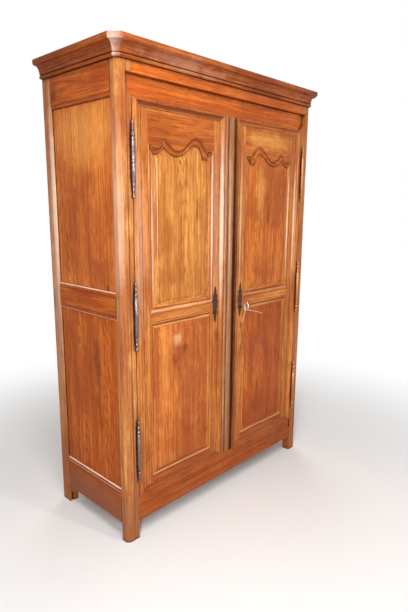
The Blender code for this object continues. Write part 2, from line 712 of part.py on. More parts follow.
def back_and_boards():
    """Rear rails and panel, floor, top board and hanging rod."""
    front = DEPTH - REAR_RAIL_INSET - REAR_RAIL_THICKNESS
    rear = DEPTH - REAR_RAIL_INSET
    low, high = REAR_POST_WIDTH + SEAM, WIDTH - REAR_POST_WIDTH - SEAM
    panel_front = front + BACK_PANEL_SETBACK
    panel_rear = panel_front + BACK_PANEL_THICKNESS
    bottom_top = FLOOR_TOP - REAR_BOTTOM_RAIL_DROP
    top_bottom = CARCASS_HEIGHT - REAR_TOP_RAIL_HEIGHT

    def grooved(outer, inner, direction):
        groove = inner - direction * GROOVE_DEPTH
        return [
            (front, outer),
            (front, inner),
            (panel_front - SEAM, inner),
            (panel_front - SEAM, groove),
            (panel_rear + SEAM, groove),
            (panel_rear + SEAM, inner),
            (rear, inner),
            (rear, outer),
        ]

    prism("rear_bottom_rail", grooved(LEG_HEIGHT, bottom_top, 1), low, high, "X", OAK_DARK)
    prism("rear_top_rail", grooved(CARCASS_HEIGHT, top_bottom, -1), low, high, "X", OAK_DARK)
    side = REAR_POST_WIDTH - TONGUE
    height = (bottom_top - TONGUE, top_bottom + TONGUE)
    box("back_panel", (side, WIDTH - side), (panel_front, panel_rear), height, OAK_DARK)
    floor = (FLOOR_TOP - FLOOR_THICKNESS, FLOOR_TOP)
    top = (CARCASS_HEIGHT - TOP_BOARD_DROP - TOP_THICKNESS, CARCASS_HEIGHT - TOP_BOARD_DROP)
    for name, height in (("floor_board", floor), ("top_board", top)):
        prism(name, board_outline(front - SEAM), height[0], height[1], "Z", OAK_LIGHT)
    middle_y = (POST_DEPTH + REAR_POST_FRONT) / 2
    reach = SIDE_RAIL_THICKNESS - ROD_SOCKET_DEPTH + SEAM
    rod = bmesh.new()
    bmesh.ops.create_cone(
        rod, cap_ends=True, segments=20, radius1=ROD_RADIUS, radius2=ROD_RADIUS, depth=WIDTH - 2 * reach
    )
    bmesh.ops.rotate(rod, verts=rod.verts, matrix=Matrix.Rotation(math.pi / 2, 3, "Y"))
    place = Vector((CENTRE, middle_y, CARCASS_HEIGHT - ROD_DROP))
    bmesh.ops.translate(rod, verts=rod.verts, vec=place)
    finished("hanging_rod", rod, OAK_LIGHT)


def board_outline(rear):
    """A board that fills the carcass and is notched round the rear posts."""
    side = SIDE_RAIL_THICKNESS + SEAM
    notch = REAR_POST_WIDTH + SEAM
    front = POST_DEPTH + SEAM
    corner = REAR_POST_FRONT - SEAM
    left = [(side, front), (side, corner), (notch, corner), (notch, rear)]
    return left + [(WIDTH - x, y) for x, y in reversed(left)]


def cornice_profile():
    """Bead, quirk, cove and rounded fascia, as (reach, height), closed round the seat."""
    bottom = CARCASS_HEIGHT + SEAM
    top = bottom + CORNICE_HEIGHT
    bead_top = bottom + CORNICE_BEAD_HEIGHT
    fascia = top - CORNICE_FASCIA_HEIGHT
    cove_start = CORNICE_BEAD_REACH - CORNICE_QUIRK_SET
    cove_width = CORNICE_REACH - CORNICE_ROUND - CORNICE_FASCIA_STEP - cove_start
    cove_height = fascia - bead_top - CORNICE_QUIRK
    hollow = [
        (cove_start + cove_width * (1 - math.cos(a)), fascia - cove_height * (1 - math.sin(a)))
        for a in arc(6)
    ]
    bulge = [
        (
            CORNICE_BEAD_REACH - CORNICE_ROUND * (1 - math.sin(a)),
            bottom + CORNICE_BEAD_HEIGHT * (1 - math.cos(a)) / 2,
        )
        for a in arc(4, math.pi)
    ]
    thumb = [
        (
            CORNICE_REACH - CORNICE_ROUND * (1 - math.sin(a)),
            fascia + CORNICE_THUMB_HEIGHT * (1 - math.cos(a)),
        )
        for a in arc(3)
    ]
    crown_round = CORNICE_CROWN_ROUND
    crown = [
        (CORNICE_REACH - crown_round * (1 - math.cos(a)), top - crown_round * (1 - math.sin(a)))
        for a in arc(2)
    ]
    return [
        (-CORNICE_SEAT, bottom),
        (0, bottom),
        *bulge,
        *hollow,
        (CORNICE_REACH - CORNICE_ROUND, fascia),
        *thumb[1:],
        *crown,
        (-CORNICE_SEAT, top),
    ]


def cornice():
    """Front length with its canted corners, mitred to two returns."""
    profile = cornice_profile()
    tangent = math.tan(math.pi / 8)

    def return_end(reach):
        return -reach, DEPTH - SEAM

    def cant_rear(reach):
        return -reach, POST_CHAMFER - tangent * reach

    def cant_front(reach):
        return POST_CHAMFER - tangent * reach, -reach

    def behind_cant(reach):
        return -reach, POST_CHAMFER - tangent * reach + 2 * SEAM

    def ring(station):
        return [(*station(reach), height) for reach, height in profile]

    side = loft("cornice_return_left", [ring(return_end), ring(behind_cant)], OAK)
    both_sides(side)
    left = [ring(cant_rear), ring(cant_front)]
    right = [[(WIDTH - x, y, z) for x, y, z in part] for part in reversed(left)]
    loft("cornice_front", left + right, OAK)


def rail_outlines():
    """Outlines of the three rails of the left door in x and z, mitred where their mouldings meet."""
    ends = ((DOOR_LEFT, HINGE_BORDER, SIGHT_LEFT, 1), (DOOR_RIGHT, MEETING_BORDER, SIGHT_RIGHT, -1))

    def end_points(outer, border, cove, sight, direction):
        """Mitre of one end of a rail, from the door's corner to the panel opening."""
        points = []
        for edge, side_border, side_sight, way in ends:
            inner = edge + way * (side_border + COVE_WIDTH)
            shoulder = side_sight - way * OVOLO_WIDTH
            points.append(
                [
                    (edge - way * side_border, outer - direction * border),
                    (edge + way * side_border, outer + direction * border),
                    (inner, outer + direction * (border + cove)),
                    (shoulder, outer + direction * (border + cove)),
                    (shoulder, sight - direction * OVOLO_WIDTH),
                    (side_sight, sight),
                    (side_sight, sight + direction * 2 * OVERCUT),
                ]
            )
        return points[0] + list(reversed(points[1]))

    top_sight = DOOR_TOP - SCROLL_LOWER[0][0][1]
    bottom = end_points(DOOR_BOTTOM, BOTTOM_BORDER, BOTTOM_COVE_WIDTH, SIGHT_BOTTOM, 1)
    top = end_points(DOOR_TOP, TOP_BORDER, COVE_WIDTH, top_sight, -1)
    shoulders = (SIGHT_LEFT - OVOLO_WIDTH, SIGHT_RIGHT + OVOLO_WIDTH)
    middle = [
        (SIGHT_LEFT, MIDDLE_RAIL_BOTTOM - OVERCUT),
        (SIGHT_LEFT, MIDDLE_RAIL_BOTTOM),
        (shoulders[0], MIDDLE_RAIL_BOTTOM + OVOLO_WIDTH),
        (shoulders[0], MIDDLE_RAIL_TOP - OVOLO_WIDTH),
        (SIGHT_LEFT, MIDDLE_RAIL_TOP),
        (SIGHT_LEFT, MIDDLE_RAIL_TOP + OVERCUT),
        (SIGHT_RIGHT, MIDDLE_RAIL_TOP + OVERCUT),
        (SIGHT_RIGHT, MIDDLE_RAIL_TOP),
        (shoulders[1], MIDDLE_RAIL_TOP - OVOLO_WIDTH),
        (shoulders[1], MIDDLE_RAIL_BOTTOM + OVOLO_WIDTH),
        (SIGHT_RIGHT, MIDDLE_RAIL_BOTTOM),
        (SIGHT_RIGHT, MIDDLE_RAIL_BOTTOM - OVERCUT),
    ]
    return {"bottom": bottom, "middle": middle, "top": top}


def joint_cutter(name, outline):
    return prism(name, outline, -OVERCUT, DOOR_THICKNESS + OVERCUT, "Y")


def stiles(outlines):
    """Hinge and meeting stiles of the left door, let in for the rails."""
    hinge_edge = outer_edge(HINGE_BORDER, COVE_WIDTH, beaded=True) + panel_edge(SIGHT_LEFT - DOOR_LEFT)
    hinge = [(DOOR_LEFT + across, depth) for across, depth in hinge_edge]
    meeting_edge = outer_edge(MEETING_BORDER, COVE_WIDTH) + panel_edge(DOOR_RIGHT - SIGHT_RIGHT)
    meeting = [(DOOR_RIGHT - across, depth) for across, depth in meeting_edge]
    made = []
    for name, outline in (("hinge", hinge), ("meeting", meeting)):
        stile = prism(f"door_left_{name}_stile", outline, DOOR_BOTTOM, DOOR_TOP, "Z", OAK)
        for cutter in outlines.values():
            combine(stile, cutter)
        made.append(stile)
    return made


def straight_rails(outlines):
    """Bottom and middle rails of the left door."""
    bottom = outer_edge(BOTTOM_BORDER, BOTTOM_COVE_WIDTH) + panel_edge(SIGHT_BOTTOM - DOOR_BOTTOM)
    bottom = [(depth, DOOR_BOTTOM + rise) for rise, depth in bottom]
    upper = [(depth, rise) for rise, depth in panel_edge(MIDDLE_RAIL_TOP)]
    height = MIDDLE_RAIL_BOTTOM + MIDDLE_RAIL_TOP
    lower = [(depth, height - rise) for depth, rise in upper]
    made = []
    for name, outline in (("bottom", bottom), ("middle", list(reversed(upper)) + lower)):
        rail = prism(f"door_left_{name}_rail", outline, DOOR_LEFT, DOOR_RIGHT, "X", OAK)
        combine(rail, outlines[name], "INTERSECT")
        made.append(rail)
    return made


def scroll_curves():
    """Lower and upper edges of the scrolled moulding, as points of (share, height)."""
    lower = [(share, DOOR_TOP - drop) for share, drop in smooth(SCROLL_LOWER)]
    upper = [(share, DOOR_TOP - drop) for share, drop in smooth(SCROLL_UPPER)]
    return lower, upper


def scroll_stations(lower, upper):
    """Shares of the opening's width where the scroll is read: evenly, and at each knot."""
    even = [k / 32 for k in range(33)]
    knots = [share for stretch in SCROLL_LOWER + SCROLL_UPPER for share, _ in stretch]
    stations = []
    for share in sorted(even + knots):
        if not stations or share - stations[-1] > 0.004 or share in knots and share - stations[-1] > 0.0005:
            stations.append(share)
    return stations


def scrolled_top_rail(outlines):
    """Top rail of the left door: a loft along the scroll, whose moulding follows both curves."""
    lower, upper = scroll_curves()
    width = SIGHT_RIGHT - SIGHT_LEFT
    top_edge = [(depth, DOOR_TOP - drop) for drop, depth in outer_edge(TOP_BORDER, COVE_WIDTH)]

    def ring(x, share):
        low, high = read_curve(lower, share), read_curve(upper, share)
        moulding = [(depth, low + (high - low) * part) for part, depth in reversed(SCROLL_MOULDING)]
        groove = [
            (PANEL_GROOVE_DEPTH, low),
            (PANEL_GROOVE_DEPTH, low + GROOVE_DEPTH),
            (GROOVE_BACK, low + GROOVE_DEPTH),
            (GROOVE_BACK, low),
            (DOOR_THICKNESS, low),
        ]
        return [(x, depth, height) for depth, height in top_edge + moulding + groove]

    rings = [ring(DOOR_LEFT, 0)]
    rings += [ring(SIGHT_LEFT + width * share, share) for share in scroll_stations(lower, upper)]
    rings.append(ring(DOOR_RIGHT, 1))
    rail = loft("door_left_top_rail", rings, OAK)
    combine(rail, outlines["top"], "INTERSECT")
    return rail


def panel_place(share, side):
    """The x of a share of the opening, drawn in to the inset of the sides towards the ends."""
    if side > 0:
        drawn = side * max(1 - min(share, 1 - share) / PANEL_CORNER_SHARE, 0)
    else:
        drawn = side if share in (0, 1) else 0
    x = SIGHT_LEFT + (SIGHT_RIGHT - SIGHT_LEFT) * share
    return x + drawn if share < 0.5 else x - drawn


def door_panels():
    """Raised panels of the left door; the upper one repeats the scroll."""
    lower, upper = scroll_curves()
    shares = scroll_stations(lower, upper)
    flat_top = [(0, MIDDLE_RAIL_BOTTOM), (1, MIDDLE_RAIL_BOTTOM)]
    margin = PANEL_BEVEL_WIDTH
    made = []
    for name, bottom, curve, stations, scroll_margin in (
        ("upper", MIDDLE_RAIL_TOP, lower, shares, PANEL_SCROLL_MARGIN),
        ("lower", SIGHT_BOTTOM, flat_top, [0, 1], margin),
    ):
        def ring(depth, side, end, top, blur, curve=curve, stations=stations, bottom=bottom):
            left, right = SIGHT_LEFT + side, SIGHT_RIGHT - side
            edge = []
            for share in stations:
                x = panel_place(share, side)
                here = (x - SIGHT_LEFT) / (SIGHT_RIGHT - SIGHT_LEFT) if side > 0 else share
                near = [read_curve(curve, here + blur * step / 2) for step in (-2, -1, 0, 1, 2)]
                height = sum(near) / len(near) if side >= margin else min(near)
                edge.append((x, depth, height - top))
            return [(left, depth, bottom + end), (right, depth, bottom + end), *reversed(edge)]

        surface = PANEL_GROOVE_DEPTH + SEAM
        back = surface + TONGUE_THICKNESS
        bevel = surface - PANEL_BEVEL_RISE
        fillet = bevel - PANEL_FILLET_RISE
        raised = fillet - PANEL_ROUND_RISE
        run = PANEL_FILLET_WIDTH
        rings = [
            ring(back, -TONGUE, -TONGUE, -TONGUE, 0.004),
            ring(surface, -TONGUE, -TONGUE, -TONGUE, 0.004),
            ring(surface, run, run, run, 0.03),
            ring(bevel, margin, margin, scroll_margin, 0.02),
            ring(fillet, margin + run, margin + run, scroll_margin + run, 0.02),
        ]
        run += PANEL_ROUND_WIDTH
        rings.append(ring(raised, margin + run, margin + run, scroll_margin + run, 0.03))
        made.append(loft(f"door_left_{name}_panel", rings, OAK_LIGHT))
    return made


def meeting_batten():
    """Moulded batten on the left door, with the rebate floor that the right door closes beside."""
    edge = DOOR_RIGHT + SEAM
    start = edge + BATTEN_FILLET_DEPTH
    bead_end = start + BATTEN_BEAD_WIDTH
    flat_start = DOOR_RIGHT + BATTEN_WIDTH - BATTEN_FLAT_WIDTH
    flat_end = DOOR_RIGHT + BATTEN_WIDTH
    end = CENTRE + MEETING_HALF_WIDTH - DOOR_GAP
    rebate_bead = (flat_end + end - REBATE_BEAD_WIDTH) / 2
    outline = [
        (edge, DOOR_THICKNESS),
        (edge, BATTEN_FILLET_DEPTH),
        (start, BATTEN_FILLET_DEPTH),
        *bead(start, BATTEN_BEAD_WIDTH, 0, BATTEN_BEAD_RISE, 6),
        (bead_end, BATTEN_FILLET_DEPTH),
        (flat_start, BATTEN_FILLET_DEPTH),
        (flat_start, -BATTEN_FLAT_RISE),
        (flat_end, -BATTEN_FLAT_RISE),
        (flat_end, BATTEN_REBATE_DEPTH),
        *bead(rebate_bead, REBATE_BEAD_WIDTH, BATTEN_REBATE_DEPTH, REBATE_BEAD_RISE),
        (end, BATTEN_REBATE_DEPTH),
        (end, DOOR_THICKNESS),
    ]
    return prism("meeting_batten", outline, DOOR_BOTTOM, DOOR_TOP, "Z", OAK)


def doors():
    """The left door, and its mirror image on the right."""
    cutters = {name: joint_cutter(f"{name}_rail_joint", line) for name, line in rail_outlines().items()}
    shrunk = {
        name: joint_cutter(f"{name}_rail_outline", inset(line, SEAM))
        for name, line in rail_outlines().items()
    }
    pieces = stiles(cutters) + straight_rails(shrunk) + [scrolled_top_rail(shrunk)] + door_panels()
    left, right = zip(*[both_sides(piece) for piece in pieces])
    return list(left), list(right)


def knuckle_profile(length):
    """Half of a hinge: a barrel and a ringed finial, as (radius, height) from the tip down."""
    radius = HINGE_RADIUS
    return [
        (0, length),
        (0.40 * radius, length - 0.003),
        (0.62 * radius, length - 0.011),
        (0.42 * radius, length - 0.019),
        (0.80 * radius, length - 0.031),
        (0.55 * radius, length - 0.040),
        (0.96 * radius, length - 0.045),
        (0.96 * radius, length - 0.054),
        (0.66 * radius, length - 0.058),
        (1.0 * radius, length - 0.064),
        (1.0 * radius, HINGE_JOINT_GAP / 2),
        (0, HINGE_JOINT_GAP / 2),
    ]


def hinges():
    """Three hinges a door: the lower knuckle belongs to the post, the upper one to the door."""
    fixed, left, right = [], [], []
    profile = knuckle_profile(HINGE_HALF_LENGTH)
    for name, height in HINGE_HEIGHTS.items():
        at = (HINGE_AXIS_X, HINGE_AXIS_Y, height)
        upper = turned(f"hinge_{name}_door_knuckle_left", profile, at, IRON, HINGE_STEPS)
        lower_profile = [(radius, -rise) for radius, rise in reversed(profile)]
        lower = turned(f"hinge_{name}_post_knuckle_left", lower_profile, at, IRON, HINGE_STEPS)
        middle = 0.4 * HINGE_HALF_LENGTH
        door_leaf = (DOOR_LEFT - SEAM - LEAF_THICKNESS, DOOR_LEFT - SEAM)
        post_leaf = (POST_WIDTH + SEAM, POST_WIDTH + SEAM + LEAF_THICKNESS)
        leaves = ((upper, door_leaf, height + middle), (lower, post_leaf, height - middle))
        for knuckle, leaf, centre in leaves:
            spread = (centre - LEAF_LENGTH / 2, centre + LEAF_LENGTH / 2)
            blade = box(f"{knuckle.name}_leaf", leaf, (HINGE_AXIS_Y, LEAF_DEPTH), spread)
            combine(knuckle, blade, "UNION")
        moving, other = both_sides(upper)
        left.append(moving)
        right.append(other)
        fixed += both_sides(lower)
    return fixed, left, right


def escutcheon():
    """Pierced plate of the left door's false lock, and its mirror image round the keyhole."""
    half = ESCUTCHEON_HEIGHT / 2
    knots = (
        (0, half),
        (0.0035, half - 0.006),
        (0.0025, half - 0.014),
        (0.0085, half - 0.022),
        (0.0060, half - 0.032),
        (0.0150, half - 0.046),
        (0.0110, half - 0.058),
        (0.0165, half - 0.074),
        (0.0140, half - 0.090),
        (0.0165, 0.074 - half + 0.008),
        (0.0105, 0.058 - half + 0.004),
        (0.0150, 0.046 - half),
        (0.0060, 0.032 - half),
        (0.0085, 0.022 - half),
        (0.0025, 0.014 - half),
        (0.0035, 0.006 - half),
        (0, -half),
    )
    curve = smooth((knots,), 3)
    right = [(max(across, 0), rise) for across, rise in curve]
    outline = right + [(-across, rise) for across, rise in reversed(right[1:-1])]
    outline = [(ESCUTCHEON_X + across, ESCUTCHEON_Z + rise) for across, rise in outline]
    back = FIELD_DEPTH - SEAM
    plate = prism("escutcheon_left", outline, back - ESCUTCHEON_THICKNESS, back, "Y", DARK_IRON)
    combine(plate, keyhole_cutter("keyhole_cutter", -OVERCUT, OVERCUT), "DIFFERENCE", "MANIFOLD")
    for k, (across, rise, radius) in enumerate(
        ((0, 0.050, 0.0032), (-0.0075, 0.020, 0.0026), (0.0075, 0.020, 0.0026), (0, -0.060, 0.0030))
    ):
        hole = cylinder_cutter(f"piercing_{k}_cutter", radius, 2 * OVERCUT, "Y", 12)
        hole.location += Vector((ESCUTCHEON_X + across, 0, ESCUTCHEON_Z + rise))
        combine(plate, hole, "DIFFERENCE", "MANIFOLD")
    return both_sides(plate)


def keyhole_cutter(name, front, back):
    """Round bore with a slot for the bit below it, on the left door's keyhole."""
    slot = KEYHOLE_HALF_WIDTH
    start = math.asin(slot / KEY_BORE_RADIUS)
    round_part = arc(KEYHOLE_STEPS, 2 * (math.pi - start))
    outline = [
        (KEY_BORE_RADIUS * math.sin(start + a), -KEY_BORE_RADIUS * math.cos(start + a)) for a in round_part
    ]
    outline += [(-slot, -KEYHOLE_REACH), (slot, -KEYHOLE_REACH)]
    outline = [(ESCUTCHEON_X + across, KEY_Z + rise) for across, rise in outline]
    return prism(name, outline, front, back, "Y")


def opposite(x):
    """The x of the right door that mirrors an x of the left one."""
    return WIDTH - x


def lock(right_meeting_stile):
    """Rim lock on the back of the right door, its bolt, and the keyhole through the stile."""
    bore = keyhole_cutter("stile_keyhole_cutter", -OVERCUT, DOOR_THICKNESS + OVERCUT)
    bore_mesh = real_mesh(bore)
    bore_mesh.transform(Matrix.Translation((WIDTH, 0, 0)) @ Matrix.Scale(-1, 4, (1, 0, 0)))
    bore_mesh.flip_normals()
    combine(right_meeting_stile, new_object("right_keyhole_cutter", bore_mesh))
    back = DOOR_THICKNESS + SEAM
    edge = opposite(DOOR_RIGHT) + LOCK_SETBACK
    x = (edge, edge + LOCK_WIDTH)
    z = (KEY_Z - LOCK_HEIGHT / 2, KEY_Z + LOCK_HEIGHT / 2)
    case = box("lock_case", x, (back, back + LOCK_DEPTH), z, DARK_IRON)
    wall = LOCK_WALL
    hollow = box(
        "lock_hollow_cutter",
        (x[0] + wall, x[1] - wall),
        (back - OVERCUT, back + LOCK_DEPTH - wall),
        (z[0] + wall, z[1] - wall),
    )
    combine(case, hollow)
    half = LOCK_BOLT_HEIGHT / 2
    bolt_z = KEY_Z + KEY_BIT_DROP + LOCK_BOLT_CLEARANCE + half
    rear = back + LOCK_DEPTH - wall - SEAM
    bolt_y = (rear - LOCK_BOLT_THICKNESS, rear)
    slot = box(
        "lock_bolt_slot_cutter",
        (x[0] - OVERCUT, x[0] + 2 * wall),
        (bolt_y[0] - SEAM, bolt_y[1]),
        (bolt_z - half - SEAM, bolt_z + half + SEAM),
    )
    combine(case, slot)
    bolt_x = (x[0] + SEAM, x[1] - wall - LOCK_BOLT_PLAY)
    bolt = box("lock_bolt", bolt_x, bolt_y, (bolt_z - half, bolt_z + half), DARK_IRON)
    return case, bolt


def key():
    """Key through the right door's keyhole: oval bow, collar, shaft and bit."""
    x = opposite(ESCUTCHEON_X)
    tip = DOOR_THICKNESS + KEY_TIP_REACH
    neck = -KEY_REACH
    seat = neck - KEY_BOW_WIRE / 2
    wire = KEY_BOW_WIRE
    bow = bpy.data.curves.new("key_bow", "CURVE")
    bow.dimensions = "3D"
    bow.bevel_depth = wire
    bow.bevel_resolution = 2
    oval = bow.splines.new("POLY")
    count = KEY_BOW_POINTS
    oval.points.add(count - 1)
    oval.use_cyclic_u = True
    half_height = KEY_BOW_HEIGHT / 2 - wire
    half_width = KEY_BOW_WIDTH / 2 - wire
    centre = neck - half_width
    for k in range(count):
        angle = 2 * math.pi * (k + 0.5) / count
        oval.points[k].co = (0, centre + half_width * math.cos(angle), half_height * math.sin(angle), 1)
    guide = bpy.data.objects.new("key_bow_guide", bow)
    CUTTERS.objects.link(guide)
    guide.location = Vector((x - CENTRE, FRONT, KEY_Z))
    mesh = real_mesh(guide)
    bpy.data.objects.remove(guide, do_unlink=True)
    made = new_object("key", mesh, DARK_IRON)
    shaft = cylinder_cutter("key_shaft_part", KEY_SHAFT_RADIUS, tip - seat, "Y", 14)
    shaft.location += Vector((x, (tip + seat) / 2, KEY_Z))
    collar = cylinder_cutter("key_collar_part", KEY_COLLAR_RADIUS, KEY_COLLAR_LENGTH, "Y", 16)
    collar.location += Vector((x, neck + KEY_COLLAR_SETBACK, KEY_Z))
    half = KEY_BIT_HALF_THICKNESS
    bit_y = (DOOR_THICKNESS + KEY_BIT_SETBACK, tip - SEAM)
    bit_z = (KEY_Z - KEY_BIT_DROP, KEY_Z + KEY_SHAFT_RADIUS / 3)
    bit = box("key_bit_part", (x - half, x + half), bit_y, bit_z)
    for piece in (shaft, collar, bit):
        combine(made, piece, "UNION", "MANIFOLD")
    return made


def resampled(points, spacing):
    """Points at even distances along a line, its two ends included."""
    lengths = [(Vector(b) - Vector(a)).length for a, b in zip(points, points[1:])]
    total = sum(lengths)
    count = max(2, round(total / spacing))
    made = []
    for k in range(count + 1):
        left = total * k / count
        for (start, end), length in zip(zip(points, points[1:]), lengths):
            if left <= length:
                break
            left -= length
        made.append(Vector(start).lerp(Vector(end), min(left / length, 1)))
    return made, total


def key_string():
    """Short string that runs over the lower wire of the key's bow, with both ends free."""
    half_width = KEY_BOW_WIDTH / 2 - KEY_BOW_WIRE
    wire_z = KEY_Z - KEY_BOW_HEIGHT / 2 + KEY_BOW_WIRE
    wire = Vector((opposite(ESCUTCHEON_X), -KEY_REACH - half_width, wire_z))
    route, length = resampled(smooth((STRING_ROUTE,), 8), 2 * STRING_DIAMETER)
    curve = bpy.data.curves.new("key_string", "CURVE")
    curve.dimensions = "3D"
    curve.bevel_depth = STRING_DIAMETER / 2
    curve.bevel_resolution = 2
    curve.use_fill_caps = True
    line = curve.splines.new("POLY")
    line.points.add(len(route) - 1)
    for point, place in zip(line.points, route):
        point.co = (*(place + wire), 1)
    curve.materials.append(STRING)
    made = bpy.data.objects.new("key_string", curve)
    made.location = Vector((-CENTRE, FRONT, 0))
    WARDROBE.objects.link(made)
    print(f"key_string is {length:.4f} m long")
    return made


def door_bolt():
    """Slide bolt inside the left door, which shoots up into the frieze."""
    x = ESCUTCHEON_X
    y = DOOR_THICKNESS + BOLT_OFFSET
    top = FRIEZE_BOTTOM - DOOR_STOP_RISE - BOLT_REST_GAP
    rod_z = (top - BOLT_LENGTH, top)
    rod = cylinder_cutter("left_bolt_rod", BOLT_RADIUS, BOLT_LENGTH, "Z", 16)
    CUTTERS.objects.unlink(rod)
    WARDROBE.objects.link(rod)
    rod.hide_render = False
    rod.display_type = "TEXTURED"
    rod.data.materials.append(IRON)
    rod.location += Vector((x, y, sum(rod_z) / 2))
    knob = cylinder_cutter("bolt_knob_part", BOLT_KNOB_RADIUS, BOLT_KNOB_LENGTH, "Y", 12)
    knob.location += Vector((x, y + BOLT_KNOB_LENGTH / 2, rod_z[0] + BOLT_KNOB_RISE))
    combine(rod, knob, "UNION")
    back = DOOR_THICKNESS + SEAM
    half = BOLT_PLATE_WIDTH / 2
    low, high = rod_z[0] + BOLT_PLATE_RISE, rod_z[1] - BOLT_PLATE_DROP
    plate = box(
        "left_bolt_plate", (x - half, x + half), (back, back + BOLT_PLATE_THICKNESS), (low, high), IRON
    )
    guide_half = BOLT_RADIUS + BOLT_GUIDE_WALL
    for name, start in (("lower", low), ("upper", high - BOLT_GUIDE_HEIGHT)):
        guide = box(
            f"{name}_bolt_guide_part",
            (x - guide_half, x + guide_half),
            (back + BOLT_PLATE_THICKNESS / 2, y + guide_half),
            (start, start + BOLT_GUIDE_HEIGHT),
        )
        combine(plate, guide, "UNION")
    run = cylinder_cutter("bolt_run_cutter", BOLT_RADIUS + BOLT_RUN, 2 * BOLT_LENGTH, "Z", 24)
    run.location += Vector((x, y, sum(rod_z) / 2))
    combine(plate, run)
    return rod, plate


def joint_empty(name, at, pieces):
    """An empty on a joint's axis, with the pieces that turn or slide there as its children."""
    empty = bpy.data.objects.new(name, None)
    empty.location = Vector(at) + Vector((-CENTRE, FRONT, 0))
    empty.empty_display_size = 0.05
    WARDROBE.objects.link(empty)
    bpy.context.view_layer.update()
    for piece in pieces:
        piece.parent = empty
        piece.matrix_parent_inverse = empty.matrix_world.inverted()
    return empty


def main():
    front_posts()
    rear_posts()
    front_rails()
    side_rails()
    side_panels()
    back_and_boards()
    cornice()
    left_door, right_door = doors()
    left_door.append(meeting_batten())
    _, left_knuckles, right_knuckles = hinges()
    left_plate, right_plate = escutcheon()
    case, lock_bolt = lock(right_door[1])
    the_key = key()
    rod, bolt_plate = door_bolt()
    left_axis = (HINGE_AXIS_X, HINGE_AXIS_Y, DOOR_BOTTOM)
    right_axis = (opposite(HINGE_AXIS_X), HINGE_AXIS_Y, DOOR_BOTTOM)
    left = joint_empty("left_door_axis", left_axis, left_door + left_knuckles + [left_plate, bolt_plate])
    right = joint_empty("right_door_axis", right_axis, right_door + right_knuckles + [right_plate, case])
    key_axis = joint_empty("key_axis", (opposite(ESCUTCHEON_X), 0, KEY_Z), [the_key, key_string()])
    for child, carrier in ((rod, left), (lock_bolt, right), (key_axis, right)):
        child.parent = carrier
        child.matrix_parent_inverse = carrier.matrix_world.inverted()


main()
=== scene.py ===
"""Looks of the two-door oak wardrobe: waxed oak, iron fittings, the key on its string and a plain studio."""

import logging
import math
from dataclasses import dataclass, field, replace
from enum import Enum

import bpy
from mathutils import Matrix, Vector


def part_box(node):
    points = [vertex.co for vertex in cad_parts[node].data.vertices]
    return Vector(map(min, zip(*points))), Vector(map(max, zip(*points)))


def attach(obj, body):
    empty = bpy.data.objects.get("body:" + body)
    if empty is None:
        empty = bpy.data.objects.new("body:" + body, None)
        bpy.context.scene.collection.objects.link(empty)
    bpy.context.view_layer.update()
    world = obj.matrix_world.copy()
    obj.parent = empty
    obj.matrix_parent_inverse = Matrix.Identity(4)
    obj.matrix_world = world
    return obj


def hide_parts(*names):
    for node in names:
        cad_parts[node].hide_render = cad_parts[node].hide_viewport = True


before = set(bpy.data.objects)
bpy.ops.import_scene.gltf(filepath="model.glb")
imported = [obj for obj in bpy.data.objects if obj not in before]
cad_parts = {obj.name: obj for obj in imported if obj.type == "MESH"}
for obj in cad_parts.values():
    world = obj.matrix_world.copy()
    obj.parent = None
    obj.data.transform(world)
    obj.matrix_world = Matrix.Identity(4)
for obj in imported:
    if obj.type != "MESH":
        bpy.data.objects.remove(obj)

Colour = tuple[float, float, float]
Place = tuple[float, float, float]
Object = bpy.types.Object
Material = bpy.types.Material
Socket = bpy.types.NodeSocket
# Sockets, numbers or tuples by an input's number or name
Inputs = dict[int | str, object]

LOG = logging.getLogger("wardrobe")
NODES: dict[str, Object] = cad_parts
SIDES = ("left", "right")
IMAGE_WIDTH = 408
IMAGE_HEIGHT = 612
WHITE = (1.0, 1.0, 1.0, 1.0)
# How far apart the stretches of wood of two boards with neighbouring numbers lie
BOARD_STEP = (1.37, 0.71, 2.93)
# Depth over which a mark on a face fades out into the wood
FACE_FADE = 0.002


class Grain(Enum):
    """The way that the fibres of a board run, as the turn that brings them upright."""

    ALONG_X = (0.0, math.pi / 2, 0.0)
    ALONG_Y = (math.pi / 2, 0.0, 0.0)
    ALONG_Z = (0.0, 0.0, 0.0)


class Cut(Enum):
    """How a board was sawn: plain boards show arches, quartered ones show lines and ray flecks."""

    PLAIN = 1.0
    QUARTERED = 0.0


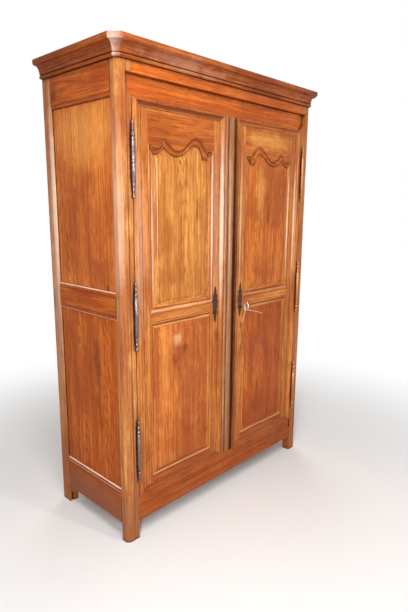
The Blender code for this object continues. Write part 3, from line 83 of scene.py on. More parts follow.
class Tree:
    """A short way to add nodes to a node tree and to join them."""

    def __init__(self, tree: bpy.types.NodeTree) -> None:
        """Keeps the tree to build in."""
        self.tree = tree

    def feed(self, node: bpy.types.Node, inputs: Inputs) -> None:
        """Links sockets to a node's inputs, or sets them to constants.

        Args:
            node: The node.
            inputs: What to feed them with.
        """
        for name, source in inputs.items():
            if isinstance(source, bpy.types.NodeSocket):
                self.tree.links.new(source, node.inputs[name])
            else:
                node.inputs[name].default_value = source

    def node(
        self, kind: str, inputs: Inputs | None = None, **settings: object
    ) -> bpy.types.Node:
        """Adds a shader node.

        Args:
            kind: Its type, such as Math.
            inputs: What to feed them with.
            settings: Its properties by name.

        Returns:
            The node.
        """
        made = self.tree.nodes.new(f"ShaderNode{kind}")
        for name, value in settings.items():
            setattr(made, name, value)
        self.feed(made, inputs or {})
        return made

    def group(self, group: bpy.types.NodeTree, inputs: Inputs) -> bpy.types.NodeOutputs:
        """The outputs of a node that holds a group."""
        return self.node("Group", inputs, node_tree=group).outputs

    def where(self) -> Socket:
        """Object coordinates."""
        return self.node("TexCoord").outputs["Object"]

    def math(self, operation: str, first: object, second: object = 0.0) -> Socket:
        """The result of a math node on two values or sockets."""
        return self.node("Math", {0: first, 1: second}, operation=operation).outputs[0]

    def times(self, first: object, second: object) -> Socket:
        """The product of two values."""
        return self.math("MULTIPLY", first, second)

    def plus(self, first: object, second: object) -> Socket:
        """The sum of two values."""
        return self.math("ADD", first, second)

    def minus(self, first: object, second: object) -> Socket:
        """The difference of two values."""
        return self.math("SUBTRACT", first, second)

    def ramp(self, value: Socket, low: float, high: float, start: float = 0.0, end: float = 1.0) -> Socket:
        """A smooth step between two limits of a value, from one result to another."""
        inputs = dict(enumerate((value, low, high, start, end)))
        return self.node("MapRange", inputs, interpolation_type="SMOOTHSTEP", clamp=True).outputs[0]

    def layered(self, base: object, *layers: tuple[Socket, object]) -> Socket:
        """A colour with others laid over it.

        Args:
            base: The lowest colour, a socket or a tuple.
            layers: The share and the colour of each layer, from the lowest up.

        Returns:
            The colour's socket.
        """
        for share, colour in layers:
            pair = [(*item, 1.0) if isinstance(item, tuple) else item for item in (base, colour)]
            inputs = {0: share, 6: pair[0], 7: pair[1]}
            base = self.node("Mix", inputs, data_type="RGBA", clamp_result=True).outputs[2]
        return base

    def noise(self, vector: Socket, scale: float, detail: float, roughness: float) -> Socket:
        """A noise texture's value."""
        inputs = {"Vector": vector, "Scale": scale, "Detail": detail, "Roughness": roughness}
        return self.node("TexNoise", inputs).outputs[0]

    def vector(
        self, operation: str, first: object, second: object = (0.0, 0.0, 0.0)
    ) -> bpy.types.NodeOutputs:
        """The outputs of a vector math node on two vectors or sockets."""
        return self.node("VectorMath", {0: first, 1: second}, operation=operation).outputs

    def stretched(self, vector: Socket, scale: object) -> Socket:
        """Coordinates multiplied axis by axis."""
        return self.vector("MULTIPLY", vector, scale)[0]

    def axes(self, vector: Socket) -> tuple[Socket, ...]:
        """The three parts of a vector."""
        return tuple(self.node("SeparateXYZ", {0: vector}).outputs)

    def bump(self, height: Socket, strength: float, distance: float) -> Socket:
        """A bump node's normal, where a height of 1 stands for a distance in metres."""
        inputs = {"Height": height, "Strength": strength, "Distance": distance}
        return self.node("Bump", inputs).outputs[0]

    def give(self, results: dict[str, Socket]) -> bpy.types.NodeTree:
        """Links results to the group's outputs of the same names, and returns the group."""
        self.feed(self.tree.nodes["out"], results)
        return self.tree


def new_group(
    name: str, inputs: tuple[str, ...], outputs: tuple[str, ...]
) -> tuple[Tree, bpy.types.NodeOutputs]:
    """A shader node group, whose sockets are numbers but for those that are called Vector.

    Args:
        name: The group's name.
        inputs: Names of its inputs.
        outputs: Names of its outputs.

    Returns:
        The group to build in, and the sockets that it reads.
    """
    group = bpy.data.node_groups.new(name, "ShaderNodeTree")
    for way, labels in (("INPUT", inputs), ("OUTPUT", outputs)):
        for label in labels:
            kind = "NodeSocketVector" if label == "Vector" else "NodeSocketFloat"
            group.interface.new_socket(name=label, in_out=way, socket_type=kind)
    group.nodes.new("NodeGroupOutput").name = "out"
    return Tree(group), group.nodes.new("NodeGroupInput").outputs


def staves_group() -> bpy.types.NodeTree:
    """Boards glued side by side: each shows another stretch of wood, with a fine joint between them.

    Returns:
        A group with the outputs Vector, Tone and Joint.
    """
    tree, source = new_group("staves", ("Vector", "Width"), ("Vector", "Tone", "Joint"))
    x, y, _ = tree.axes(source["Vector"])
    count = tree.math("DIVIDE", tree.plus(x, y), source["Width"])
    number = {"W": tree.math("FLOOR", count)}
    chance = tree.node("TexWhiteNoise", number, noise_dimensions="1D").outputs
    moved = tree.vector("ADD", source["Vector"], tree.stretched(chance["Color"], (5.0, 5.0, 17.0)))[0]
    middle = tree.math("ABSOLUTE", tree.minus(tree.math("FRACT", count), 0.5))
    edge = tree.times(tree.minus(0.5, middle), source["Width"])
    joint = tree.ramp(edge, 0.0003, 0.0013, 1.0, 0.0)
    return tree.give({"Vector": moved, "Tone": chance["Value"], "Joint": joint})


def grain_group() -> bpy.types.NodeTree:
    """Oak grain on coordinates in metres whose Z runs along the fibres.

    Returns:
        A group with the outputs Figure, Bands, Streaks, Mottle, Pores, Rays and Height.
    """
    names = ("Figure", "Bands", "Streaks", "Mottle", "Pores", "Rays", "Height")
    tree, source = new_group("oak_grain", ("Vector", "Arches"), names)
    place = source["Vector"]

    def noise(wide: float, long: float, detail: float = 2.0, roughness: float = 0.5) -> Socket:
        """Noise with a scale of its own across the fibres and along them."""
        return tree.noise(tree.stretched(place, (wide, wide, long)), 1.0, detail, roughness)

    x, y, z = tree.axes(place)
    across = tree.plus(x, tree.times(y, 0.6))
    bend = tree.plus(tree.times(noise(6.0, 0.8, 2.0, 0.45), 9.0), tree.times(noise(48.0, 4.0), 1.6))
    straight = tree.plus(tree.times(across, 105.0), bend)
    local = tree.times(tree.minus(tree.math("FRACT", tree.times(across, 7.1)), 0.5), 0.141)
    arch = tree.plus(tree.times(z, 13.0), tree.times(tree.times(local, local), 1500.0))
    arch = tree.plus(arch, bend)
    lines = tree.plus(straight, tree.times(source["Arches"], tree.minus(arch, straight)))
    early = tree.ramp(tree.math("FRACT", lines), 0.0, 0.55, 1.0, 0.0)
    patches = noise(16.0, 2.0)
    streaks = noise(110.0, 4.0, 3.0, 0.7)
    fine = tree.ramp(noise(820.0, 24.0, 2.0, 0.6), 0.54, 0.66)
    pores = tree.times(fine, tree.ramp(early, 0.0, 0.9, 0.45, 1.0))
    cells = {"Vector": tree.stretched(place, (150.0, 150.0, 34.0)), "Scale": 1.0}
    fleck = tree.ramp(tree.node("TexVoronoi", cells).outputs["Distance"], 0.1, 0.24, 1.0, 0.0)
    results = (
        tree.times(early, tree.ramp(patches, 0.36, 0.62, 0.15, 1.0)),
        noise(26.0, 1.5, 2.0, 0.55),
        streaks,
        noise(75.0, 16.0, 3.0, 0.65),
        pores,
        tree.times(fleck, tree.ramp(patches, 0.46, 0.6)),
        tree.minus(tree.times(streaks, 0.35), tree.plus(tree.times(pores, 0.9), early)),
    )
    return tree.give(dict(zip(names, results)))


def age_and_shade_group() -> bpy.types.NodeTree:
    """Marks on any hard piece: wax with painted shade in its hollows and creases, wear on its edges, and
    blotches.

    Returns:
        A group with the outputs Dirt, Line, Wear, Blotch and Rub.
    """
    tree, source = new_group("age", ("Vector",), ("DirtAndShade", "Line", "Wear", "Blotch", "Rub"))
    place = source["Vector"]
    swing = tree.times(tree.minus(tree.noise(place, 60.0, 4.0, 0.65), 0.5), 0.34)
    # Ambient occlusion near and far: its darkness is painted as shade, together with wax, in hollows and
    # creases
    wide, tight = (
        tree.node("AmbientOcclusion", {"Distance": reach}, samples=12).outputs["AO"]
        for reach in (0.02, 0.006)
    )
    rounded = tree.node("Bevel", {"Radius": 0.0026}, samples=8).outputs[0]
    flat = tree.node("NewGeometry").outputs["True Normal"]
    edge = tree.ramp(tree.vector("DOT_PRODUCT", rounded, flat)["Value"], 0.78, 0.99, 1.0, 0.0)
    edge = tree.times(edge, tree.ramp(tight, 0.55, 0.85))
    return tree.give(
        {
            "DirtAndShade": tree.ramp(tree.plus(wide, swing), 0.34, 0.95, 1.0, 0.0),
            "Line": tree.ramp(tree.plus(tight, tree.times(swing, 0.5)), 0.56, 0.94, 1.0, 0.0),
            "Wear": tree.times(edge, tree.ramp(tree.noise(place, 27.0, 5.0, 0.7), 0.36, 0.58)),
            "Blotch": tree.noise(place, 3.4, 3.0, 0.55),
            "Rub": tree.noise(place, 14.0, 5.0, 0.65),
        }
    )


STAVES_GROUP = staves_group()
GRAIN_GROUP = grain_group()
AGE_AND_SHADE_GROUP = age_and_shade_group()


def new_material(name: str) -> tuple[Material, Tree, bpy.types.Node]:
    """A material with a Principled BSDF.

    Args:
        name: The material's name.

    Returns:
        The material, its tree and its shader.
    """
    made = bpy.data.materials.new(name)
    made.use_nodes = True
    return made, Tree(made.node_tree), made.node_tree.nodes["Principled BSDF"]


class Face(Enum):
    """The face that a mark lies on: the axis that goes into the wood, and the depth where it ends."""

    FRONT = (1, -0.2275)
    DEEP_FRONT = (1, -0.202)
    LEFT = (0, -0.648)

    def shown(self, tree: Tree, strength: float) -> Socket:
        """A mark's strength on this face, which is nought behind it."""
        inward, end = self.value
        return tree.ramp(tree.axes(tree.where())[inward], end, end + FACE_FADE, strength, 0.0)


@dataclass(frozen=True)
class Stain:
    """A mark at one place of a face: a dark patch of old wax, a faded area, a pale scuff, a line of dust, or
    painted shade, shadow, highlight or reflection.

    Its place and reach are measured across the face and upwards. One that is on_top lies over the darkened
    hollows.
    """

    face: Face
    across: float
    up: float
    width: float
    height: float
    strength: float
    colour: Colour
    ragged: float = 0.9
    on_top: bool = False

    def share(self, tree: Tree, rub: Socket) -> Socket:
        """How much the mark covers.

        Args:
            tree: The material's tree.
            rub: A rough noise that breaks up its edge.

        Returns:
            The share's socket.
        """
        centre, size = [0.0, 0.0, self.up], [0.0, 0.0, 1 / self.height]
        sideways = 1 - self.face.value[0]
        centre[sideways], size[sideways] = self.across, 1 / self.width
        offset = tree.vector("SUBTRACT", tree.where(), centre)[0]
        away = tree.vector("LENGTH", tree.stretched(offset, size))["Value"]
        away = tree.plus(away, tree.times(tree.minus(rub, 0.5), self.ragged * 2))
        return tree.times(tree.ramp(away, 0.15, 1.05, 1.0, 0.0), self.face.shown(tree, self.strength))


@dataclass(frozen=True)
class Hollow:
    """Painted shade in the hollows of a door's front, darker from one depth to another."""

    start: float
    end: float
    strength: float
    colour: Colour
    on_top: bool = True

    def share(self, tree: Tree, rub: Socket) -> Socket:
        """How much the painted shade covers.

        Args:
            tree: The material's tree.
            rub: A rough noise that thins it here and there.

        Returns:
            The share's socket.
        """
        depth = tree.axes(tree.where())[Face.FRONT.value[0]]
        share = tree.ramp(depth, self.start, self.end, 0.0, self.strength)
        share = tree.times(share, Face.FRONT.shown(tree, 1.0))
        return tree.times(share, tree.ramp(rub, 0.25, 0.55, 0.7, 1.0))


@dataclass(frozen=True)
class OakFinish:
    """Waxed and polished oak.

    Colours are linear: pale is the wood between the pores, warm its middle tone, deep the growth lines and
    the painted shade towards the floor, and dirt_and_shade the wax in its pores and hollows with the painted
    shade there.
    """

    name: str
    pale: Colour
    warm: Colour
    deep: Colour
    dirt_and_shade: Colour = (0.055, 0.01, 0.002)
    worn: Colour = (0.84, 0.5, 0.27)
    roughness: float = 0.4
    coat: float = 0.36
    shade_and_grime: float = 0.92
    figure: float = 0.5
    staves: float = 9.0

    def material(self, grain: Grain, seed: int, cut: Cut, marks: tuple[Stain | Hollow, ...]) -> Material:
        """The finish on one board.

        Args:
            grain: The way its fibres run.
            seed: The board's number, so that no two show the same stretch of wood.
            cut: How it was sawn.
            marks: Marks at places of their own.

        Returns:
            The board's material.
        """
        made, tree, shader = new_material(f"{self.name}_{seed}")
        stretch = tuple(step * seed for step in BOARD_STEP)
        turn = {"Vector": tree.where(), "Rotation": grain.value, "Location": stretch}
        place = tree.node("Mapping", turn).outputs[0]
        staves = tree.group(STAVES_GROUP, {"Vector": place, "Width": self.staves})
        wood = tree.group(GRAIN_GROUP, {"Vector": staves["Vector"], "Arches": cut.value})
        age = tree.group(AGE_AND_SHADE_GROUP, {"Vector": place})
        rub = age["Rub"]
        base = tree.layered(
            self.pale,
            (tree.ramp(wood["Streaks"], 0.38, 0.58), self.warm),
            (tree.ramp(wood["Streaks"], 0.5, 0.64, 0.0, 0.42), self.deep),
            (tree.ramp(wood["Mottle"], 0.46, 0.62, 0.0, 0.34), self.deep),
            (tree.ramp(wood["Bands"], 0.4, 0.64, 0.0, 0.38), self.deep),
            (tree.times(wood["Figure"], self.figure), self.deep),
            (tree.ramp(age["Blotch"], 0.44, 0.62, 0.0, 0.4), self.deep),
            (tree.times(staves["Tone"], 0.22), self.deep),
            (tree.times(wood["Rays"], 0.16), self.worn),
            (tree.times(wood["Pores"], 0.5), self.dirt_and_shade),
            # Painted shade: darker towards the floor, below 0.55 m
            (tree.ramp(tree.axes(tree.where())[2], 0.05, 0.55, 0.55, 0.0), self.deep),
            *((mark.share(tree, rub), mark.colour) for mark in marks if not mark.on_top),
            (tree.times(staves["Joint"], 0.65), self.dirt_and_shade),
            (tree.times(age["Wear"], 0.8), self.worn),
            # Wax in hollows and creases, darkened further as painted shade
            (tree.times(age["DirtAndShade"], self.shade_and_grime), self.dirt_and_shade),
            (tree.times(age["Line"], self.shade_and_grime), self.dirt_and_shade),
            *((mark.share(tree, rub), mark.colour) for mark in marks if mark.on_top),
        )
        polish = tree.ramp(rub, 0.25, 0.75, self.roughness - 0.06, self.roughness + 0.1)
        uneven = tree.plus(tree.times(wood["Height"], 0.5), tree.times(rub, 0.6))
        results = {
            "Base Color": base,
            "Roughness": tree.plus(polish, tree.times(age["DirtAndShade"], 0.25)),
            "Specular IOR Level": 0.0,
            "Coat Weight": self.coat,
            "Coat Roughness": 0.17,
            "Normal": tree.bump(uneven, 0.3, 0.0008),
        }
        tree.feed(shader, results)
        return made


@dataclass(frozen=True)
class IronFinish:
    """Old iron: bright where it is rubbed, brown and dull in its hollows."""

    name: str
    rubbed: Colour
    dark: Colour
    roughness: float
    tarnish: float = 0.5

    def material(self) -> Material:
        """The finish, one material for all its pieces.

        Returns:
            The material.
        """
        made, tree, shader = new_material(self.name)
        where = tree.where()
        age = tree.group(AGE_AND_SHADE_GROUP, {"Vector": where})
        stain = tree.noise(where, 150.0, 4.0, 0.65)
        colour = tree.layered(
            self.rubbed,
            (tree.ramp(stain, 0.4, 0.72, 0.0, self.tarnish), self.dark),
            (tree.times(age["Wear"], 0.6), self.rubbed),
            (tree.times(age["Line"], 0.85), self.dark),
        )
        pitted = tree.plus(stain, tree.times(tree.noise(where, 520.0, 3.0, 0.6), 0.5))
        results = {
            "Base Color": colour,
            "Metallic": 1.0,
            "Roughness": tree.ramp(stain, 0.3, 0.7, self.roughness, self.roughness + 0.22),
            "Normal": tree.bump(pitted, 0.3, 0.0004),
        }
        tree.feed(shader, results)
        return made


@dataclass(frozen=True)
class StringFinish:
    """Twisted cotton, darker in its creases as painted shade."""

    name: str
    colour: Colour

    def material(self) -> Material:
        """The finish, with fine fibres along the strands.

        Returns:
            The material.
        """
        made, tree, shader = new_material(self.name)
        where = tree.where()
        fibres = tree.noise(where, 2600.0, 3.0, 0.6)
        shadow, crease_shade = (tuple(share * part for part in self.colour) for share in (0.62, 0.3))
        line = tree.group(AGE_AND_SHADE_GROUP, {"Vector": where})["Line"]
        layers = (tree.ramp(fibres, 0.35, 0.65), self.colour), (tree.times(line, 0.45), crease_shade)
        results = {
            "Base Color": tree.layered(shadow, *layers),
            "Roughness": 0.9,
            "Sheen Weight": 0.3,
            "Normal": tree.bump(fibres, 0.5, 0.0002),
        }
        tree.feed(shader, results)
        return made


FRAME_OAK = OakFinish("oak_frame", (0.74, 0.295, 0.062), (0.62, 0.205, 0.036), (0.26, 0.044, 0.005))
RAIL_OAK = OakFinish("oak_rail", (0.64, 0.2, 0.032), (0.54, 0.136, 0.018), (0.22, 0.034, 0.004))
FRIEZE_OAK = OakFinish("oak_frieze", (0.74, 0.2, 0.026), (0.64, 0.145, 0.016), (0.3, 0.045, 0.005))
BATTEN_OAK = OakFinish("oak_batten", (0.52, 0.26, 0.118), (0.44, 0.19, 0.078), (0.22, 0.064, 0.019))
GOLD_OAK = OakFinish("oak_gold", (0.7, 0.32, 0.072), (0.58, 0.23, 0.047), (0.3, 0.066, 0.009))
AMBER_OAK = OakFinish("oak_amber", (0.7, 0.235, 0.036), (0.6, 0.165, 0.022), (0.27, 0.04, 0.004))
LOWER_OAK = OakFinish("oak_lower", (0.7, 0.235, 0.046), (0.59, 0.165, 0.028), (0.26, 0.04, 0.005))
RED_OAK = OakFinish("oak_red", (0.6, 0.165, 0.02), (0.5, 0.11, 0.012), (0.22, 0.028, 0.003))
SIDE_OAK = OakFinish(
    "oak_side", (0.66, 0.18, 0.022), (0.56, 0.124, 0.013), (0.26, 0.036, 0.003), coat=0.22
)
SIDE_GOLD_OAK = OakFinish(
    "oak_side_gold", (0.82, 0.27, 0.05), (0.69, 0.19, 0.031), (0.33, 0.05, 0.006), coat=0.22
)
CORNICE_OAK = OakFinish("oak_cornice", (0.54, 0.16, 0.032), (0.42, 0.106, 0.018), (0.16, 0.024, 0.004))
RETURN_OAK = OakFinish(
    "oak_return", (0.42, 0.105, 0.018), (0.34, 0.075, 0.011), (0.16, 0.024, 0.003), coat=0.22
)
POST_OAK = OakFinish("oak_post", (0.66, 0.3, 0.088), (0.55, 0.215, 0.058), (0.26, 0.052, 0.01))
INSIDE_OAK = OakFinish(
    "oak_inside", (0.5, 0.26, 0.1), (0.4, 0.19, 0.068), (0.22, 0.085, 0.026), roughness=0.6, coat=0.0
)
HINGE_STEEL = IronFinish("hinge_steel", (0.26, 0.22, 0.23), (0.028, 0.015, 0.011), 0.22, 0.9)
# Painted reflection: the right hinges' iron tinted brown, as if mirroring the wood beside them
HINGE_WOOD_REFLECTION = IronFinish("hinge_wood_reflection", (0.5, 0.25, 0.12), (0.16, 0.055, 0.02), 0.34, 0.7)
LOCK_IRON = IronFinish("lock_iron", (0.115, 0.068, 0.046), (0.014, 0.007, 0.005), 0.36, 1.0)
KEY_STEEL = IronFinish("key_steel", (0.8, 0.74, 0.63), (0.3, 0.2, 0.12), 0.22, 0.4)
COTTON = StringFinish("cotton_string", (0.8, 0.66, 0.47))

# Painted shade, near black: the slit between the doors and the shadows beside the hinges
BLACK_SHADE: Colour = (0.03, 0.01, 0.006)
# Dark old wax in spots, also painted shade in lines along mouldings and gaps and in the doors' top coves
DARK_WAX_AND_SHADE: Colour = (0.12, 0.02, 0.004)
RED_WAX: Colour = (0.26, 0.045, 0.01)
GILT: Colour = (0.86, 0.43, 0.1)
# Pale scuffs, also painted highlights on the rounds of the panel mouldings
PALE_SCUFF_AND_HIGHLIGHT: Colour = (0.8, 0.5, 0.26)
# Painted highlight: pale bands down coves, chamfers and rounded edges where a lamp would glint
PAINTED_HIGHLIGHT: Colour = (0.8, 0.55, 0.42)
# Painted reflection: pale grey on the cornice's canted corner
GREY_REFLECTION: Colour = (0.6, 0.45, 0.37)
# Pale lines of dust on the side rails, also painted highlights down stiles, mouldings and the rear post
DUST_AND_HIGHLIGHT_LINE: Colour = (0.86, 0.6, 0.42)
GREY_BROWN: Colour = (0.22, 0.105, 0.06)
# Painted shade in the scroll moulding's hollows, darker with depth
SCROLL_SHADE = Hollow(-0.2373, -0.235, 0.66, (0.16, 0.03, 0.006))


def marks(face: Face, *rows: tuple) -> tuple[Stain, ...]:
    """Marks on one face, from rows of a stain's other values."""
    return tuple(Stain(face, *row) for row in rows)


def lines(face: Face, middle: float, *rows: tuple[float, float, float, Colour]) -> tuple[Stain, ...]:
    """Level lines along mouldings, of wax, dust and scuffs with painted shade and highlights, over the
    darkened hollows, from rows of height, reach, strength and colour.
    """
    return tuple(Stain(face, middle, up, 1.2, *row, ragged=0.6, on_top=True) for up, *row in rows)


HINGE_HEIGHTS = (1.675, 1.06, 0.5)


def hinge_shadows(x: float) -> tuple[Stain, ...]:
    """Painted shadows that the left door's three hinges cast on the wood beside them."""
    return tuple(Stain(Face.FRONT, x, up, 0.013, 0.165, 0.85, BLACK_SHADE, 0.4, True) for up in HINGE_HEIGHTS)


# Faces that level lines run along, with their middle
ON_SIDE = (Face.LEFT, 0.02)
ON_LEFT_DOOR = (Face.FRONT, -0.31)
ON_RIGHT_DOOR = (Face.FRONT, 0.31)
